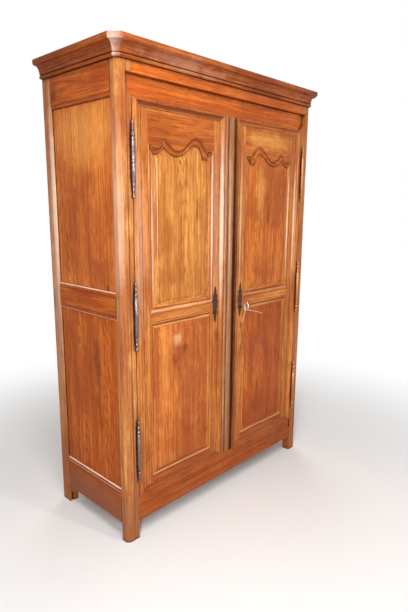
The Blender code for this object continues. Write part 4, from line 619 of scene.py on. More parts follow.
# Marks by CAD node or moulding, read off the photograph, with painted shade and highlights among them: place
# across and up, reach across and up, strength, colour, raggedness, and whether they lie over the darkened
# hollows
STAINS: dict[str, tuple[Stain | Hollow, ...]] = {
    # Side rails: dark lines of wax and painted shade, pale lines of dust and painted highlight
    "side_middle_rail_left": lines(
        *ON_SIDE,
        (1.1205, 0.0045, 0.6, DARK_WAX_AND_SHADE), (1.04, 0.004, 0.5, DARK_WAX_AND_SHADE),
        (1.1375, 0.005, 0.85, DUST_AND_HIGHLIGHT_LINE), (1.0225, 0.0045, 0.6, DUST_AND_HIGHLIGHT_LINE),
    ),
    "side_bottom_rail_left": (
        Stain(Face.LEFT, 0.02, 0.13, 0.7, 0.13, 0.55, GREY_BROWN, 0.6),
        *lines(
            *ON_SIDE,
            (0.243, 0.0045, 0.55, DARK_WAX_AND_SHADE), (0.227, 0.0045, 0.5, DARK_WAX_AND_SHADE),
            (0.252, 0.005, 0.95, DUST_AND_HIGHLIGHT_LINE), (0.236, 0.0035, 0.45, DUST_AND_HIGHLIGHT_LINE),
        ),
    ),
    "side_top_rail_left": (
        Stain(Face.LEFT, 0.215, 1.945, 0.035, 0.07, 0.6, DARK_WAX_AND_SHADE),
        *lines(*ON_SIDE, (1.9, 0.0045, 0.7, DARK_WAX_AND_SHADE), (1.914, 0.0045, 0.55, DARK_WAX_AND_SHADE)),
    ),
    # Panel mouldings: painted highlights on their rounds and painted shade under their edges, with wax in
    # the quirks
    "door_left_upper_moulding_bottom": lines(
        *ON_LEFT_DOOR, (1.0435, 0.008, 0.48, PALE_SCUFF_AND_HIGHLIGHT), (1.057, 0.003, 0.6, DARK_WAX_AND_SHADE)
    ),
    "door_right_upper_moulding_bottom": lines(
        *ON_RIGHT_DOOR, (1.0435, 0.006, 0.22, PALE_SCUFF_AND_HIGHLIGHT), (1.057, 0.0045, 0.8, DARK_WAX_AND_SHADE)
    ),
    "door_left_lower_moulding_top": lines(
        *ON_LEFT_DOOR, (0.974, 0.0045, 0.32, PALE_SCUFF_AND_HIGHLIGHT), (0.985, 0.004, 0.55, DARK_WAX_AND_SHADE)
    ),
    "door_right_lower_moulding_top": lines(*ON_RIGHT_DOOR, (0.985, 0.004, 0.6, DARK_WAX_AND_SHADE)),
    "door_left_lower_moulding_bottom": lines(
        *ON_LEFT_DOOR,
        (0.266, 0.004, 0.7, DARK_WAX_AND_SHADE), (0.277, 0.0045, 0.45, PALE_SCUFF_AND_HIGHLIGHT),
        (0.289, 0.004, 0.7, DARK_WAX_AND_SHADE),
    ),
    "door_right_lower_moulding_bottom": lines(
        *ON_RIGHT_DOOR,
        (0.266, 0.004, 0.7, DARK_WAX_AND_SHADE), (0.277, 0.004, 0.3, PALE_SCUFF_AND_HIGHLIGHT),
        (0.289, 0.004, 0.7, DARK_WAX_AND_SHADE),
    ),
    "door_left_lower_panel": marks(
        Face.FRONT,
        (-0.25, 0.64, 0.11, 0.26, 0.5, RED_WAX), (-0.297, 0.47, 0.07, 0.12, 0.4, RED_WAX),
        (-0.342, 0.894, 0.028, 0.036, 0.48, PALE_SCUFF_AND_HIGHLIGHT, 1.6), (-0.332, 0.82, 0.07, 0.08, 0.55, RED_WAX),
        (-0.297, 0.847, 0.024, 0.034, 0.55, DARK_WAX_AND_SHADE), (-0.361, 0.789, 0.022, 0.032, 0.45, DARK_WAX_AND_SHADE),
        (-0.43, 0.78, 0.035, 0.35, 0.2, GILT),
    ),
    "door_right_lower_panel": marks(
        Face.FRONT,
        (0.281, 0.8, 0.08, 0.12, 0.6, RED_WAX), (0.215, 0.72, 0.06, 0.16, 0.6, RED_WAX),
        (0.259, 0.441, 0.08, 0.15, 0.4, DARK_WAX_AND_SHADE),
    ),
    # Painted shade in the slit between the doors, a painted highlight down the cove, and spots of wax
    "door_right_meeting_stile": marks(
        Face.FRONT,
        (0.052, 1.0, 0.018, 1.5, 0.9, BLACK_SHADE, 0.25), (0.087, 1.43, 0.008, 0.42, 0.45, PAINTED_HIGHLIGHT, 0.3),
        (0.105, 0.882, 0.012, 0.024, 0.8, DARK_WAX_AND_SHADE), (0.111, 0.763, 0.012, 0.034, 0.8, DARK_WAX_AND_SHADE),
    ),
    # Painted shade on the batten's edge by the slit, and a painted highlight down its round
    "meeting_batten": marks(
        Face.FRONT,
        (0.04, 1.0, 0.014, 1.5, 0.85, BLACK_SHADE, 0.25), (-0.005, 1.36, 0.01, 0.48, 0.35, PAINTED_HIGHLIGHT, 0.3),
    ),
    # A painted highlight down the right door's hinge stile
    "door_right_hinge_stile": marks(Face.FRONT, (0.552, 1.4, 0.01, 0.42, 0.85, DUST_AND_HIGHLIGHT_LINE, 0.3, True)),
    # A spot of wax and painted highlights down the meeting cove
    "door_left_meeting_stile": marks(
        Face.FRONT,
        (-0.081, 0.863, 0.022, 0.05, 0.6, DARK_WAX_AND_SHADE), (-0.059, 1.42, 0.016, 0.52, 0.85, PAINTED_HIGHLIGHT, 0.3),
        (-0.1, 1.38, 0.06, 0.5, 0.14, PAINTED_HIGHLIGHT, 0.5),
    ),
    # Painted shadows of the hinges and painted highlights down the stile
    "door_left_hinge_stile": (
        *hinge_shadows(-0.5905),
        Stain(Face.FRONT, -0.56, 1.35, 0.05, 0.48, 0.22, PAINTED_HIGHLIGHT, 0.6),
        Stain(Face.FRONT, -0.49, 1.36, 0.01, 0.42, 0.6, PAINTED_HIGHLIGHT, 0.3),
    ),
    # Painted highlights down the panel mouldings' edges
    "door_left_upper_moulding_meeting": marks(Face.FRONT, (-0.122, 1.42, 0.012, 0.48, 0.7, PAINTED_HIGHLIGHT, 0.3)),
    "door_left_upper_moulding_hinge": marks(Face.FRONT, (-0.488, 1.35, 0.014, 0.42, 0.45, PAINTED_HIGHLIGHT, 0.3)),
    "door_right_upper_moulding_hinge": marks(
        Face.FRONT, (0.494, 1.4, 0.008, 0.42, 0.85, DUST_AND_HIGHLIGHT_LINE, 0.3, True)
    ),
    # Painted shade in the doors' top coves under the frieze, and in the scroll
    "door_left_top_rail": (
        Stain(Face.FRONT, -0.32, 1.886, 0.8, 0.015, 0.85, DARK_WAX_AND_SHADE, 0.12),
        SCROLL_SHADE,
    ),
    "door_right_top_rail": (
        Stain(Face.FRONT, 0.32, 1.893, 0.8, 0.006, 0.6, DARK_WAX_AND_SHADE, 0.12),
        Stain(Face.FRONT, 0.32, 1.82, 0.3, 0.06, 0.34, GILT),
        SCROLL_SHADE,
    ),
    # Painted shadows of the hinges, a dark line of wax and painted shade by the door, patches of tone and a
    # painted highlight on the chamfer
    "front_post_left": (
        *hinge_shadows(-0.599),
        *marks(
            Face.DEEP_FRONT,
            (-0.6195, 1.0, 0.006, 1.8, 0.75, DARK_WAX_AND_SHADE, 0.2, True),
            (-0.62, 1.88, 0.08, 0.23, 0.6, RED_WAX), (-0.661, 0.1, 0.12, 0.15, 0.35, GREY_BROWN),
            (-0.66, 1.42, 0.03, 0.45, 0.3, PAINTED_HIGHLIGHT, 0.5), (-0.619, 1.408, 0.022, 0.07, 0.45, GILT),
            (-0.622, 0.848, 0.022, 0.06, 0.45, GILT),
        ),
    ),
    # Painted highlights down the rear post's rounded edge
    "rear_post_left": marks(
        Face.LEFT,
        (0.244, 1.48, 0.02, 0.6, 0.95, DUST_AND_HIGHLIGHT_LINE, 0.2, True), (0.25, 1.2, 0.06, 0.8, 0.25, PAINTED_HIGHLIGHT, 0.5),
    ),
    # A painted reflection on the canted corner, a painted highlight, and dark lines of wax and painted shade
    "cornice_front": marks(
        Face.DEEP_FRONT,
        (-0.69, 2.03, 0.045, 0.12, 0.9, GREY_REFLECTION, 0.4, True), (-0.3, 2.06, 0.3, 0.04, 0.16, PAINTED_HIGHLIGHT, 1.4),
        (-0.15, 1.975, 0.9, 0.012, 0.5, DARK_WAX_AND_SHADE, 0.5), (0.25, 2.04, 0.26, 0.03, 0.5, DARK_WAX_AND_SHADE),
    ),
    "door_left_upper_panel": marks(
        Face.FRONT,
        (-0.328, 1.679, 0.007, 0.013, 0.8, DARK_WAX_AND_SHADE, 0.5), (-0.19, 1.44, 0.03, 0.16, 0.4, RED_WAX),
        (-0.222, 1.476, 0.008, 0.09, 0.55, DARK_WAX_AND_SHADE), (-0.241, 1.389, 0.008, 0.08, 0.5, DARK_WAX_AND_SHADE),
        (-0.35, 1.19, 0.12, 0.06, 0.35, RED_WAX),
    ),
    "door_right_upper_panel": marks(
        Face.FRONT,
        (0.314, 1.451, 0.008, 0.13, 0.6, DARK_WAX_AND_SHADE), (0.28, 1.15, 0.13, 0.1, 0.45, RED_WAX),
        (0.25, 1.56, 0.06, 0.16, 0.3, GILT),
    ),
    # Patches of tone, a spot of wax, and a dark line of wax and painted shade beside the rear post
    "side_upper_panel_left": marks(
        Face.LEFT,
        (0.12, 1.4, 0.08, 0.26, 0.45, RED_WAX), (0.153, 1.301, 0.04, 0.12, 0.45, RED_WAX),
        (-0.08, 1.2, 0.1, 0.11, 0.5, RED_WAX), (-0.14, 1.15, 0.014, 0.022, 0.7, DARK_WAX_AND_SHADE),
        (0.231, 1.5, 0.01, 0.9, 0.75, DARK_WAX_AND_SHADE, 0.2), (-0.01, 1.78, 0.3, 0.18, 0.34, GILT, 0.5),
    ),
    "side_lower_panel_left": marks(
        Face.LEFT,
        (-0.043, 0.8, 0.03, 0.24, 0.6, DARK_WAX_AND_SHADE), (0.02, 0.78, 0.06, 0.24, 0.45, RED_WAX),
    ),
}


def only_select(piece: Object) -> None:
    """Deselects all, then selects a piece and makes it active.

    Args:
        piece: The piece.
    """
    bpy.ops.object.select_all(action="DESELECT")
    piece.select_set(True)
    bpy.context.view_layer.objects.active = piece


def added(name: str, data: bpy.types.ID | None) -> Object:
    """A new object in the scene.

    Args:
        name: Its name.
        data: What it shows.

    Returns:
        The object.
    """
    made = bpy.data.objects.new(name, data)
    bpy.context.scene.collection.objects.link(made)
    return made


def primitive(kind: str, name: str, **settings: object) -> Object:
    """Adds a plain solid or face, selected alone.

    Args:
        kind: The operator's word for it, such as cube.
        name: The piece's name.
        settings: The operator's settings by name.

    Returns:
        The piece.
    """
    bpy.ops.object.select_all(action="DESELECT")
    getattr(bpy.ops.mesh, f"primitive_{kind}_add")(**settings)
    piece = bpy.context.active_object
    piece.name = name
    return piece


def edit(piece: Object, **steps: dict[str, object]) -> None:
    """Takes steps on the whole mesh of a piece.

    Args:
        piece: The piece.
        steps: Settings by the name of each step's mesh operator.
    """
    only_select(piece)
    bpy.ops.object.mode_set(mode="EDIT")
    bpy.ops.mesh.select_all(action="SELECT")
    for name, settings in steps.items():
        getattr(bpy.ops.mesh, name)(**settings)
    bpy.ops.object.mode_set(mode="OBJECT")


def smooth(piece: Object, degrees: float) -> None:
    """Shades a piece smooth, except where its faces meet at more than an angle."""
    only_select(piece)
    bpy.ops.object.shade_smooth_by_angle(angle=math.radians(degrees))


def apply(piece: Object, kind: str, **settings: object) -> None:
    """Adds a modifier, sets its properties and applies it.

    Args:
        piece: The object.
        kind: The modifier's type.
        settings: Its properties by name.
    """
    only_select(piece)
    modifier = piece.modifiers.new(kind.lower(), kind)
    for name, value in settings.items():
        setattr(modifier, name, value)
    bpy.ops.object.modifier_apply(modifier=modifier.name)


def fused(base: Object, other: Object, operation: str = "UNION") -> Object:
    """Joins a piece to another one, or cuts it out with DIFFERENCE, and removes it.

    Args:
        base: The piece that stays.
        other: The piece that is joined or cut out.
        operation: UNION or DIFFERENCE.

    Returns:
        The changed piece.
    """
    apply(base, "BOOLEAN", object=other, operation=operation, solver="EXACT")
    bpy.data.objects.remove(other, do_unlink=True)
    return base


def take(piece: Object, material: Material, body: str, slot: str, node: str = "") -> Object:
    """Dresses a finished piece and gives it its place in the part.

    Args:
        piece: The new piece.
        material: Its only material.
        body: The body that it moves with.
        slot: Not used.
        node: The CAD node that it replaces, where it replaces one.

    Returns:
        The piece.
    """
    piece.data.materials.clear()
    piece.data.materials.append(material)
    if node:
        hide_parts(node)
    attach(piece, body)
    LOG.info("built %s with %d faces", piece.name, len(piece.data.polygons))
    return piece


@dataclass(frozen=True)
class Shift:
    """Moves the points of a mesh that lie between two heights."""

    low: float
    high: float
    by: float

    def move(self, mesh: bpy.types.Mesh) -> None:
        """Moves the points of a mesh up or down.

        Args:
            mesh: The mesh.
        """
        for vertex in mesh.vertices:
            if self.low < vertex.co.z < self.high:
                vertex.co.z += self.by


PANEL_SHIFTS: dict[str, tuple[Shift, ...]] = {
    "upper_panel": (Shift(1.06, 1.135, -0.038),),
    "lower_panel": (Shift(0.25, 0.345, -0.034), Shift(0.93, 0.95, -0.01)),
    "middle_rail": (Shift(1.06, 1.1, -0.04),),
    "bottom_rail": (Shift(0.277, 0.3, -0.015),),
}


def softened(node: str, name: str, width: float, shifts: tuple[Shift, ...] = ()) -> Object:
    """A copy of a CAD node with its triangles merged, its edges rounded and its faces shaded smooth.

    Args:
        node: The node.
        name: The copy's name.
        width: Width of the rounding.
        shifts: Moves of its mouldings.

    Returns:
        The copy.
    """
    mesh = NODES[node].data.copy()
    mesh.name = name
    piece = added(name, mesh)
    merged = {"threshold": 0.00002}
    edit(piece, remove_doubles=merged, dissolve_limited={"angle_limit": math.radians(0.3)})
    for shift in shifts:
        shift.move(mesh)
    sharp = {"limit_method": "ANGLE", "angle_limit": math.radians(32)}
    apply(piece, "BEVEL", width=width, segments=2, miter_outer="MITER_ARC", **sharp)
    smooth(piece, 32)
    apply(piece, "WEIGHTED_NORMAL", keep_sharp=True)
    return piece


@dataclass
class Board:
    """One wooden member: its CAD node with softened edges and its own stretch of oak."""

    node: str
    body: str
    finish: OakFinish
    grain: Grain
    slot: str = "oak_frame"
    cut: Cut = Cut.QUARTERED
    softening: float = 0.001
    shifts: tuple[Shift, ...] = ()

    def build(self, seed: int) -> None:
        """Makes the member.

        Args:
            seed: The board's number.
        """
        piece = softened(self.node, f"{self.node}_oak", self.softening, self.shifts)
        oak = self.finish.material(self.grain, seed, self.cut, STAINS.get(self.node, ()))
        take(piece, oak, self.body, self.slot, self.node)


@dataclass
class Carcass:
    """Posts, rails, sides, back and boards."""

    panel_boards: float = 0.118
    back_boards: float = 0.16

    def boards(self) -> list[Board]:
        """Every wooden member of the carcass.

        Returns:
            The boards, in the order of their numbers.
        """
        glued = {
            "upper": replace(SIDE_GOLD_OAK, name="oak_side_upper", staves=self.panel_boards),
            "lower": replace(SIDE_OAK, name="oak_side_lower", staves=self.panel_boards),
        }
        back = replace(SIDE_OAK, name="oak_back", staves=self.back_boards)
        inside = replace(INSIDE_OAK, name="oak_inside_boards", staves=self.back_boards)
        rows = [
            ("frieze_rail", FRIEZE_OAK, Grain.ALONG_X),
            ("front_bottom_rail", RAIL_OAK, Grain.ALONG_X),
            ("rear_top_rail", SIDE_OAK, Grain.ALONG_X, "oak_side"),
            ("rear_bottom_rail", SIDE_OAK, Grain.ALONG_X, "oak_side"),
            ("back_panel", back, Grain.ALONG_Z, "oak_side", Cut.PLAIN),
            ("floor_board", inside, Grain.ALONG_X, "oak_inside", Cut.PLAIN),
            ("top_board", inside, Grain.ALONG_X, "oak_inside", Cut.PLAIN),
            ("hanging_rod", INSIDE_OAK, Grain.ALONG_X, "oak_inside"),
        ]
        for side in SIDES:
            rows.append((f"front_post_{side}", POST_OAK, Grain.ALONG_Z))
            rows.append((f"rear_post_{side}", POST_OAK, Grain.ALONG_Z, "oak_side"))
            for place in ("top", "middle", "bottom"):
                rows.append((f"side_{place}_rail_{side}", SIDE_OAK, Grain.ALONG_Y, "oak_side"))
            for place, oak in glued.items():
                rows.append((f"side_{place}_panel_{side}", oak, Grain.ALONG_Z, "oak_side", Cut.PLAIN))
        return [Board(node, "carcass", *rest) for node, *rest in rows]


@dataclass
class Cornice:
    """The moulded top: a front length with canted corners, and two returns."""

    front: OakFinish = CORNICE_OAK
    returns: OakFinish = RETURN_OAK

    def boards(self) -> list[Board]:
        """The cornice's three lengths."""
        sides = [Board(f"cornice_return_{side}", "carcass", self.returns, Grain.ALONG_Y) for side in SIDES]
        return [Board("cornice_front", "carcass", self.front, Grain.ALONG_X), *sides]


# Left door: left, right, lower and upper edge of the frame's flat faces round each panel, then the widths
# of the mouldings inside them: upright, lower and upper
PANEL_FRAMES = {
    "upper": ((-0.511, -0.113, 1.03, 1.752), (0.031, 0.043, 0.031)),
    "lower": ((-0.511, -0.113, 0.264, 0.997), (0.031, 0.031, 0.031)),
}
DOOR_FRONT = -0.2444
# Moulding round a panel: (share of its width, depth behind the door's front)
PANEL_MOULDING = (
    (0.04, 0.014), (0.04, 0.0084), (0.055, 0.0077), (0.1, 0.0072), (0.17, 0.007),
    (0.27, 0.0072), (0.36, 0.0079), (0.43, 0.009), (0.475, 0.0102), (0.48, 0.0112),
    (0.52, 0.0112), (0.525, 0.0099), (0.57, 0.0093), (0.65, 0.009), (0.74, 0.0093),
    (0.84, 0.01), (0.93, 0.0109), (0.985, 0.0116), (0.985, 0.014),
)


@dataclass(frozen=True)
class MouldingLength:
    """One mitred length of the moulding round a door's panel, drawn on the left door."""

    side: str
    place: str
    edge: str

    def ends(self, share: float) -> list[tuple[float, float]]:
        """Both ends of one line of the moulding.

        Args:
            share: The line's share of the moulding's width.

        Returns:
            The ends' x and z.
        """
        (left, right, bottom, top), widths = PANEL_FRAMES[self.place]
        inward, above, below = (share * width for width in widths)
        x = {"hinge": left + inward, "meeting": right - inward}
        z = {"bottom": bottom + above, "top": top - below}
        across = [x[self.edge]] * 2 if self.edge in x else x.values()
        upright = [z[self.edge]] * 2 if self.edge in z else z.values()
        return list(zip(across, upright))

    def build(self, seed: int) -> None:
        """Makes the length.

        Args:
            seed: Number of its stretch of wood.
        """
        points, faces = [], []
        count = len(PANEL_MOULDING)
        way = 1.0 if self.side == "left" else -1.0
        for share, depth in PANEL_MOULDING:
            points += [(way * x, DOOR_FRONT + depth, z) for x, z in self.ends(share)]
        for k in range(count):
            after = (k + 1) % count
            faces.append((2 * k, 2 * k + 1, 2 * after + 1, 2 * after))
        faces.append(tuple(2 * k for k in range(count)))
        faces.append(tuple(2 * k + 1 for k in reversed(range(count))))
        name = f"door_{self.side}_{self.place}_moulding_{self.edge}"
        mesh = bpy.data.meshes.new(name)
        mesh.from_pydata(points, [], faces)
        piece = added(name, mesh)
        edit(piece, normals_make_consistent={"inside": False})
        smooth(piece, 38)
        grain = Grain.ALONG_Z if self.edge in ("hinge", "meeting") else Grain.ALONG_X
        oak = FRAME_OAK.material(grain, seed, Cut.QUARTERED, STAINS.get(name, ()))
        take(piece, oak, f"{self.side}_door", "oak_frame")


@dataclass
class Door:
    """A framed door with two raised panels."""

    side: str
    upper: OakFinish
    lower: OakFinish
    panel_boards: float = 0.148
    fine: float = 0.0005

    def boards(self) -> list[Board]:
        """The door's seven wooden members, and the meeting batten on the left one.

        Returns:
            The boards, in the order of their numbers.
        """
        upper, lower = (
            replace(finish, staves=self.panel_boards, name=f"{finish.name}_boards")
            for finish in (self.upper, self.lower)
        )
        rows = (
            ("hinge_stile", FRAME_OAK, Grain.ALONG_Z),
            ("meeting_stile", FRAME_OAK, Grain.ALONG_Z),
            ("top_rail", RAIL_OAK, Grain.ALONG_X, "oak_frame", Cut.QUARTERED, self.fine),
            ("middle_rail", FRAME_OAK, Grain.ALONG_X),
            ("bottom_rail", RAIL_OAK, Grain.ALONG_X),
            ("upper_panel", upper, Grain.ALONG_Z, "oak_panel", Cut.PLAIN, self.fine),
            ("lower_panel", lower, Grain.ALONG_Z, "oak_panel", Cut.PLAIN, self.fine),
        )
        body = f"{self.side}_door"
        made = [
            Board(f"door_{self.side}_{name}", body, *rest, shifts=PANEL_SHIFTS.get(name, ()))
            for name, *rest in rows
        ]
        if self.side == "left":
            made.append(Board("meeting_batten", body, BATTEN_OAK, Grain.ALONG_Z))
        return made

    def mouldings(self) -> list[MouldingLength]:
        """The mitred mouldings round both panels, but for the scrolled top of the upper one."""
        places = [(place, edge) for place in PANEL_FRAMES for edge in ("hinge", "meeting", "bottom", "top")]
        return [MouldingLength(self.side, *place) for place in places if place != ("upper", "top")]


def turned(
    name: str, stations: tuple[tuple[float, float], ...], radius: float, segments: int = 40
) -> Object:
    """A turned piece that stands on the origin: a disc pulled up from one station to the next.

    Args:
        name: The piece's name.
        stations: Height of each ring and its share of the radius, from the lowest one up.
        radius: The radius that the shares are of.
        segments: Points on its round.

    Returns:
        The piece.
    """
    height, share = stations[0]
    disc = {"vertices": segments, "radius": radius * share, "fill_type": "NGON"}
    piece = primitive("circle", name, location=(0, 0, height), **disc)
    bpy.ops.object.mode_set(mode="EDIT")
    bpy.ops.mesh.select_all(action="SELECT")
    for up, size in stations[1:]:
        bpy.ops.mesh.extrude_region_move(TRANSFORM_OT_translate={"value": (0, 0, up - height)})
        bpy.ops.transform.resize(value=(size / share, size / share, 1), center_override=(0, 0, up))
        height, share = up, size
    bpy.ops.object.mode_set(mode="OBJECT")
    edit(piece, normals_make_consistent={"inside": False})
    bpy.ops.object.transform_apply()
    smooth(piece, 40)
    return piece


def block(name: str, low: Place, high: Place, rounding: float) -> Object:
    """A small block with rounded edges.

    Args:
        name: Its name.
        low: Its lowest corner.
        high: Its highest corner.
        rounding: Width of its rounded edges.

    Returns:
        The block, its mesh in place.
    """
    piece = primitive("cube", name, size=1.0, location=(Vector(low) + Vector(high)) / 2)
    piece.scale = Vector(high) - Vector(low)
    bpy.ops.object.transform_apply()
    if rounding > 0:
        apply(piece, "BEVEL", width=rounding, segments=2, limit_method="ANGLE")
    return piece


@dataclass
class Hinge:
    """One barrel hinge: a knuckle on the door above one on the post, each with a ringed finial and leaf."""

    side: str
    place: str
    steel: Material
    radius: float = 0.008
    play: float = 0.0003

    @classmethod
    def knuckle(cls) -> Object:
        """The upper knuckle, its joint at the origin, with its leaf to the rear.

        Returns:
            The piece that every knuckle is copied from.
        """
        stations = (
            (0.0003, 0.93), (0.0008, 1.0), (0.084, 1.0), (0.0848, 0.93), (0.0858, 0.7),
            (0.0905, 0.66), (0.0914, 0.84), (0.093, 0.95), (0.095, 0.98), (0.097, 0.96),
            (0.099, 0.88), (0.1, 0.7), (0.102, 0.56), (0.1085, 0.52), (0.111, 0.62),
            (0.113, 0.76), (0.1155, 0.82), (0.118, 0.8), (0.1205, 0.68), (0.1225, 0.5),
            (0.129, 0.4), (0.131, 0.42), (0.1335, 0.56), (0.1365, 0.62), (0.14, 0.62),
            (0.1435, 0.54), (0.1465, 0.4), (0.1483, 0.22), (0.149, 0.05),
        )
        leaf = block("knuckle_leaf", (-0.00105, 0.0, 0.0096), (0.00105, 0.0303, 0.1096), 0.0004)
        return fused(turned("knuckle", stations, cls.radius), leaf)

    def build(self, pattern: Object) -> None:
        """Copies the knuckle to the door and, upside down, to the post.

        Args:
            pattern: The knuckle that is copied.
        """
        for part, body in (("door", f"{self.side}_door"), ("post", "carcass")):
            node = f"hinge_{self.place}_{part}_knuckle_{self.side}"
            low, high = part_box(node)
            mesh = pattern.data.copy()
            joint = low.z - self.play
            if part == "post":
                joint = high.z + self.play
                mesh.transform(Matrix.Scale(-1.0, 4, Vector((0, 0, 1))))
                mesh.flip_normals()
            mesh.transform(Matrix.Translation(((low.x + high.x) / 2, low.y + self.radius, joint)))
            take(added(f"{node}_steel", mesh), self.steel, body, "hinge_iron", node)


@dataclass
class LockWork:
    """Escutcheons, the rim lock with its bolt, and the left door's slide bolt."""

    iron: Material
    screw_radius: float = 0.0036
    plate_inset: float = 0.01
    case_inset: float = 0.009
    sunk: float = 0.0002

    def screw(self) -> Object:
        """A domed screw head with a slot, its top upwards.

        Returns:
            The piece that every screw is copied from.
        """
        size = self.screw_radius
        stations = ((0.0, 1.0), (0.0005, 1.0), (0.001, 0.75), (0.0013, 0.3))
        slot = block("screw_slot", (-0.0004, -size, 0.0006), (0.0004, size, 0.003), 0.0)
        return fused(turned("screw", stations, size, 24), slot, "DIFFERENCE")

    def screwed(self, piece: Object, pattern: Object, places: list[Place], turn: float) -> None:
        """Joins screw heads to a piece.

        Args:
            piece: The plate or case.
            pattern: The screw that is copied.
            places: Where the heads sit.
            turn: Degrees about X that bring the head's top to the side that is seen.
        """
        for number, place in enumerate(places):
            mesh = pattern.data.copy()
            mesh.transform(Matrix.Rotation(math.radians(25 + 50 * number), 4, "Z"))
            mesh.transform(Matrix.Translation(place) @ Matrix.Rotation(math.radians(turn), 4, "X"))
            fused(piece, added("screw_head", mesh))
        smooth(piece, 32)

    def piece(self, node: str, body: str, rounding: float) -> Object:
        """A rounded copy of a CAD node in iron, in the node's place."""
        return take(softened(node, f"{node}_iron", rounding), self.iron, body, "lock_iron", node)

    def build(self) -> None:
        """Makes all of them."""
        pattern = self.screw()
        for side in SIDES:
            plate = self.piece(f"escutcheon_{side}", f"{side}_door", 0.0005)
            low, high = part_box(f"escutcheon_{side}")
            middle, front = (low.x + high.x) / 2, low.y + self.sunk
            pins = [(middle, front, z) for z in (low.z + self.plate_inset, high.z - self.plate_inset)]
            self.screwed(plate, pattern, pins, 90.0)
        case = self.piece("lock_case", "right_door", 0.0008)
        low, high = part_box("lock_case")
        across = (low.x + self.case_inset, high.x - self.case_inset)
        upright = (low.z + self.case_inset, high.z - self.case_inset)
        corners = [(x, high.y - self.sunk, z) for x in across for z in upright]
        self.screwed(case, pattern, corners, -90.0)
        self.piece("lock_bolt", "lock_bolt", 0.0006)
        self.piece("left_bolt_plate", "left_door", 0.0004)
        self.piece("left_bolt_rod", "left_bolt", 0.0005)
        bpy.data.objects.remove(pattern, do_unlink=True)


KEY_WIRE = 0.0028
BOW_HALF_WIDTH = 0.0112


@dataclass
class Key:
    """The key in the right door's lock, with its oval bow of round wire."""

    steel: Material
    shaft: float = 0.004

    @staticmethod
    def bow(centre: Vector, half_height: float) -> Object:
        """The oval ring of the bow, upright and in line with the shaft.

        Args:
            centre: The ring's middle.
            half_height: Its half height.

        Returns:
            The ring.
        """
        points = {"major_segments": 56, "minor_segments": 16, "rotation": (0, math.radians(90), 0)}
        ring = primitive("torus", "key_bow", major_radius=half_height, minor_radius=KEY_WIRE, **points)
        bpy.ops.object.transform_apply()
        squeeze = BOW_HALF_WIDTH / half_height
        for vertex in ring.data.vertices:
            spot = Vector((0, vertex.co.y, vertex.co.z))
            line = spot.normalized() * half_height
            rest = vertex.co - line
            turn = Vector((0, line.y * squeeze, line.z))
            outward = Vector((0, line.y / squeeze, line.z)).normalized()
            vertex.co = turn + Vector((rest.x, 0, 0)) + outward * rest.dot(spot.normalized())
        ring.data.transform(Matrix.Translation(centre))
        bpy.ops.object.shade_smooth()
        return ring

    def build(self) -> None:
        """Makes the key in its keyhole."""
        low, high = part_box("key")
        x, z = (low.x + high.x) / 2, (low.z + high.z) / 2
        middle = low.y + KEY_WIRE + BOW_HALF_WIDTH
        neck = middle + BOW_HALF_WIDTH
        reach = high.y - neck
        key = self.bow(Vector((x, middle, z)), (high.z - low.z) / 2 - KEY_WIRE)
        stations = (
            (-0.0014, 0.8), (0.002, 0.96), (0.005, 1.0), (0.0052, 1.28), (0.0066, 1.34),
            (0.0072, 1.05), (0.0078, 1.5), (0.009, 1.6), (0.0112, 1.6), (0.0122, 1.48),
            (0.0128, 1.05), (0.0134, 1.0), (reach - 0.0008, 1.0), (reach, 0.85),
        )
        stem = turned("key_stem", stations, self.shaft, 32)
        stem.data.transform(Matrix.Translation((x, neck, z)) @ Matrix.Rotation(math.radians(-90), 4, "X"))
        fused(key, stem)
        back = high.y - 0.0003
        bit = block("key_bit", (x - 0.0017, back - 0.008, z - 0.0155), (x + 0.0017, back, z), 0.0003)
        notch_low, notch_high = (x - 0.004, back - 0.0052, z - 0.017), (x + 0.004, back - 0.003, z - 0.0105)
        fused(bit, block("key_notch", notch_low, notch_high, 0.0), "DIFFERENCE")
        fused(key, bit)
        smooth(key, 35)
        key.name = "key_with_bow"
        take(key, self.steel, "key", "lock_iron", "key")


STRING_DIAMETER = 0.0022
# Middle line of the string, from its long end over the lowest wire of the key's bow
STRING_ROUTE: tuple[Place, ...] = (
    (0.095, -0.028, -0.024),
    (0.07, -0.022, -0.013),
    (0.045, -0.013, -0.006),
    (0.024, -0.005, -0.0015),
    (0.011, -0.001, 0.002),
    (0.0046, 0.0, 0.0038),
    (0.0, 0.0, 0.0045),
    (-0.004, 0.0, 0.0029),
    (-0.006, 0.0005, -0.0018),
    (-0.01, 0.001, -0.013),
    (-0.018, 0.0, -0.027),
    (-0.028, -0.003, -0.04),
    (-0.034, -0.004, -0.052),
)


def smooth_line(knots: tuple[Place, ...], steps: int) -> list[Vector]:
    """Points of a Catmull-Rom curve through a row of knots.

    Args:
        knots: The knots.
        steps: Points from each knot to the next.

    Returns:
        The points, the last knot included.
    """
    points = []
    for k in range(len(knots) - 1):
        before = Vector(knots[max(k - 1, 0)])
        start, end = Vector(knots[k]), Vector(knots[k + 1])
        beyond = Vector(knots[min(k + 2, len(knots) - 1)])
        for step in range(steps):
            t = step / steps
            bend = (2 * before - 5 * start + 4 * end - beyond) * t * t
            twist = (3 * start - before - 3 * end + beyond) * t**3
            points.append((2 * start + (end - before) * t + bend + twist) / 2)
    points.append(Vector(knots[-1]))
    return points


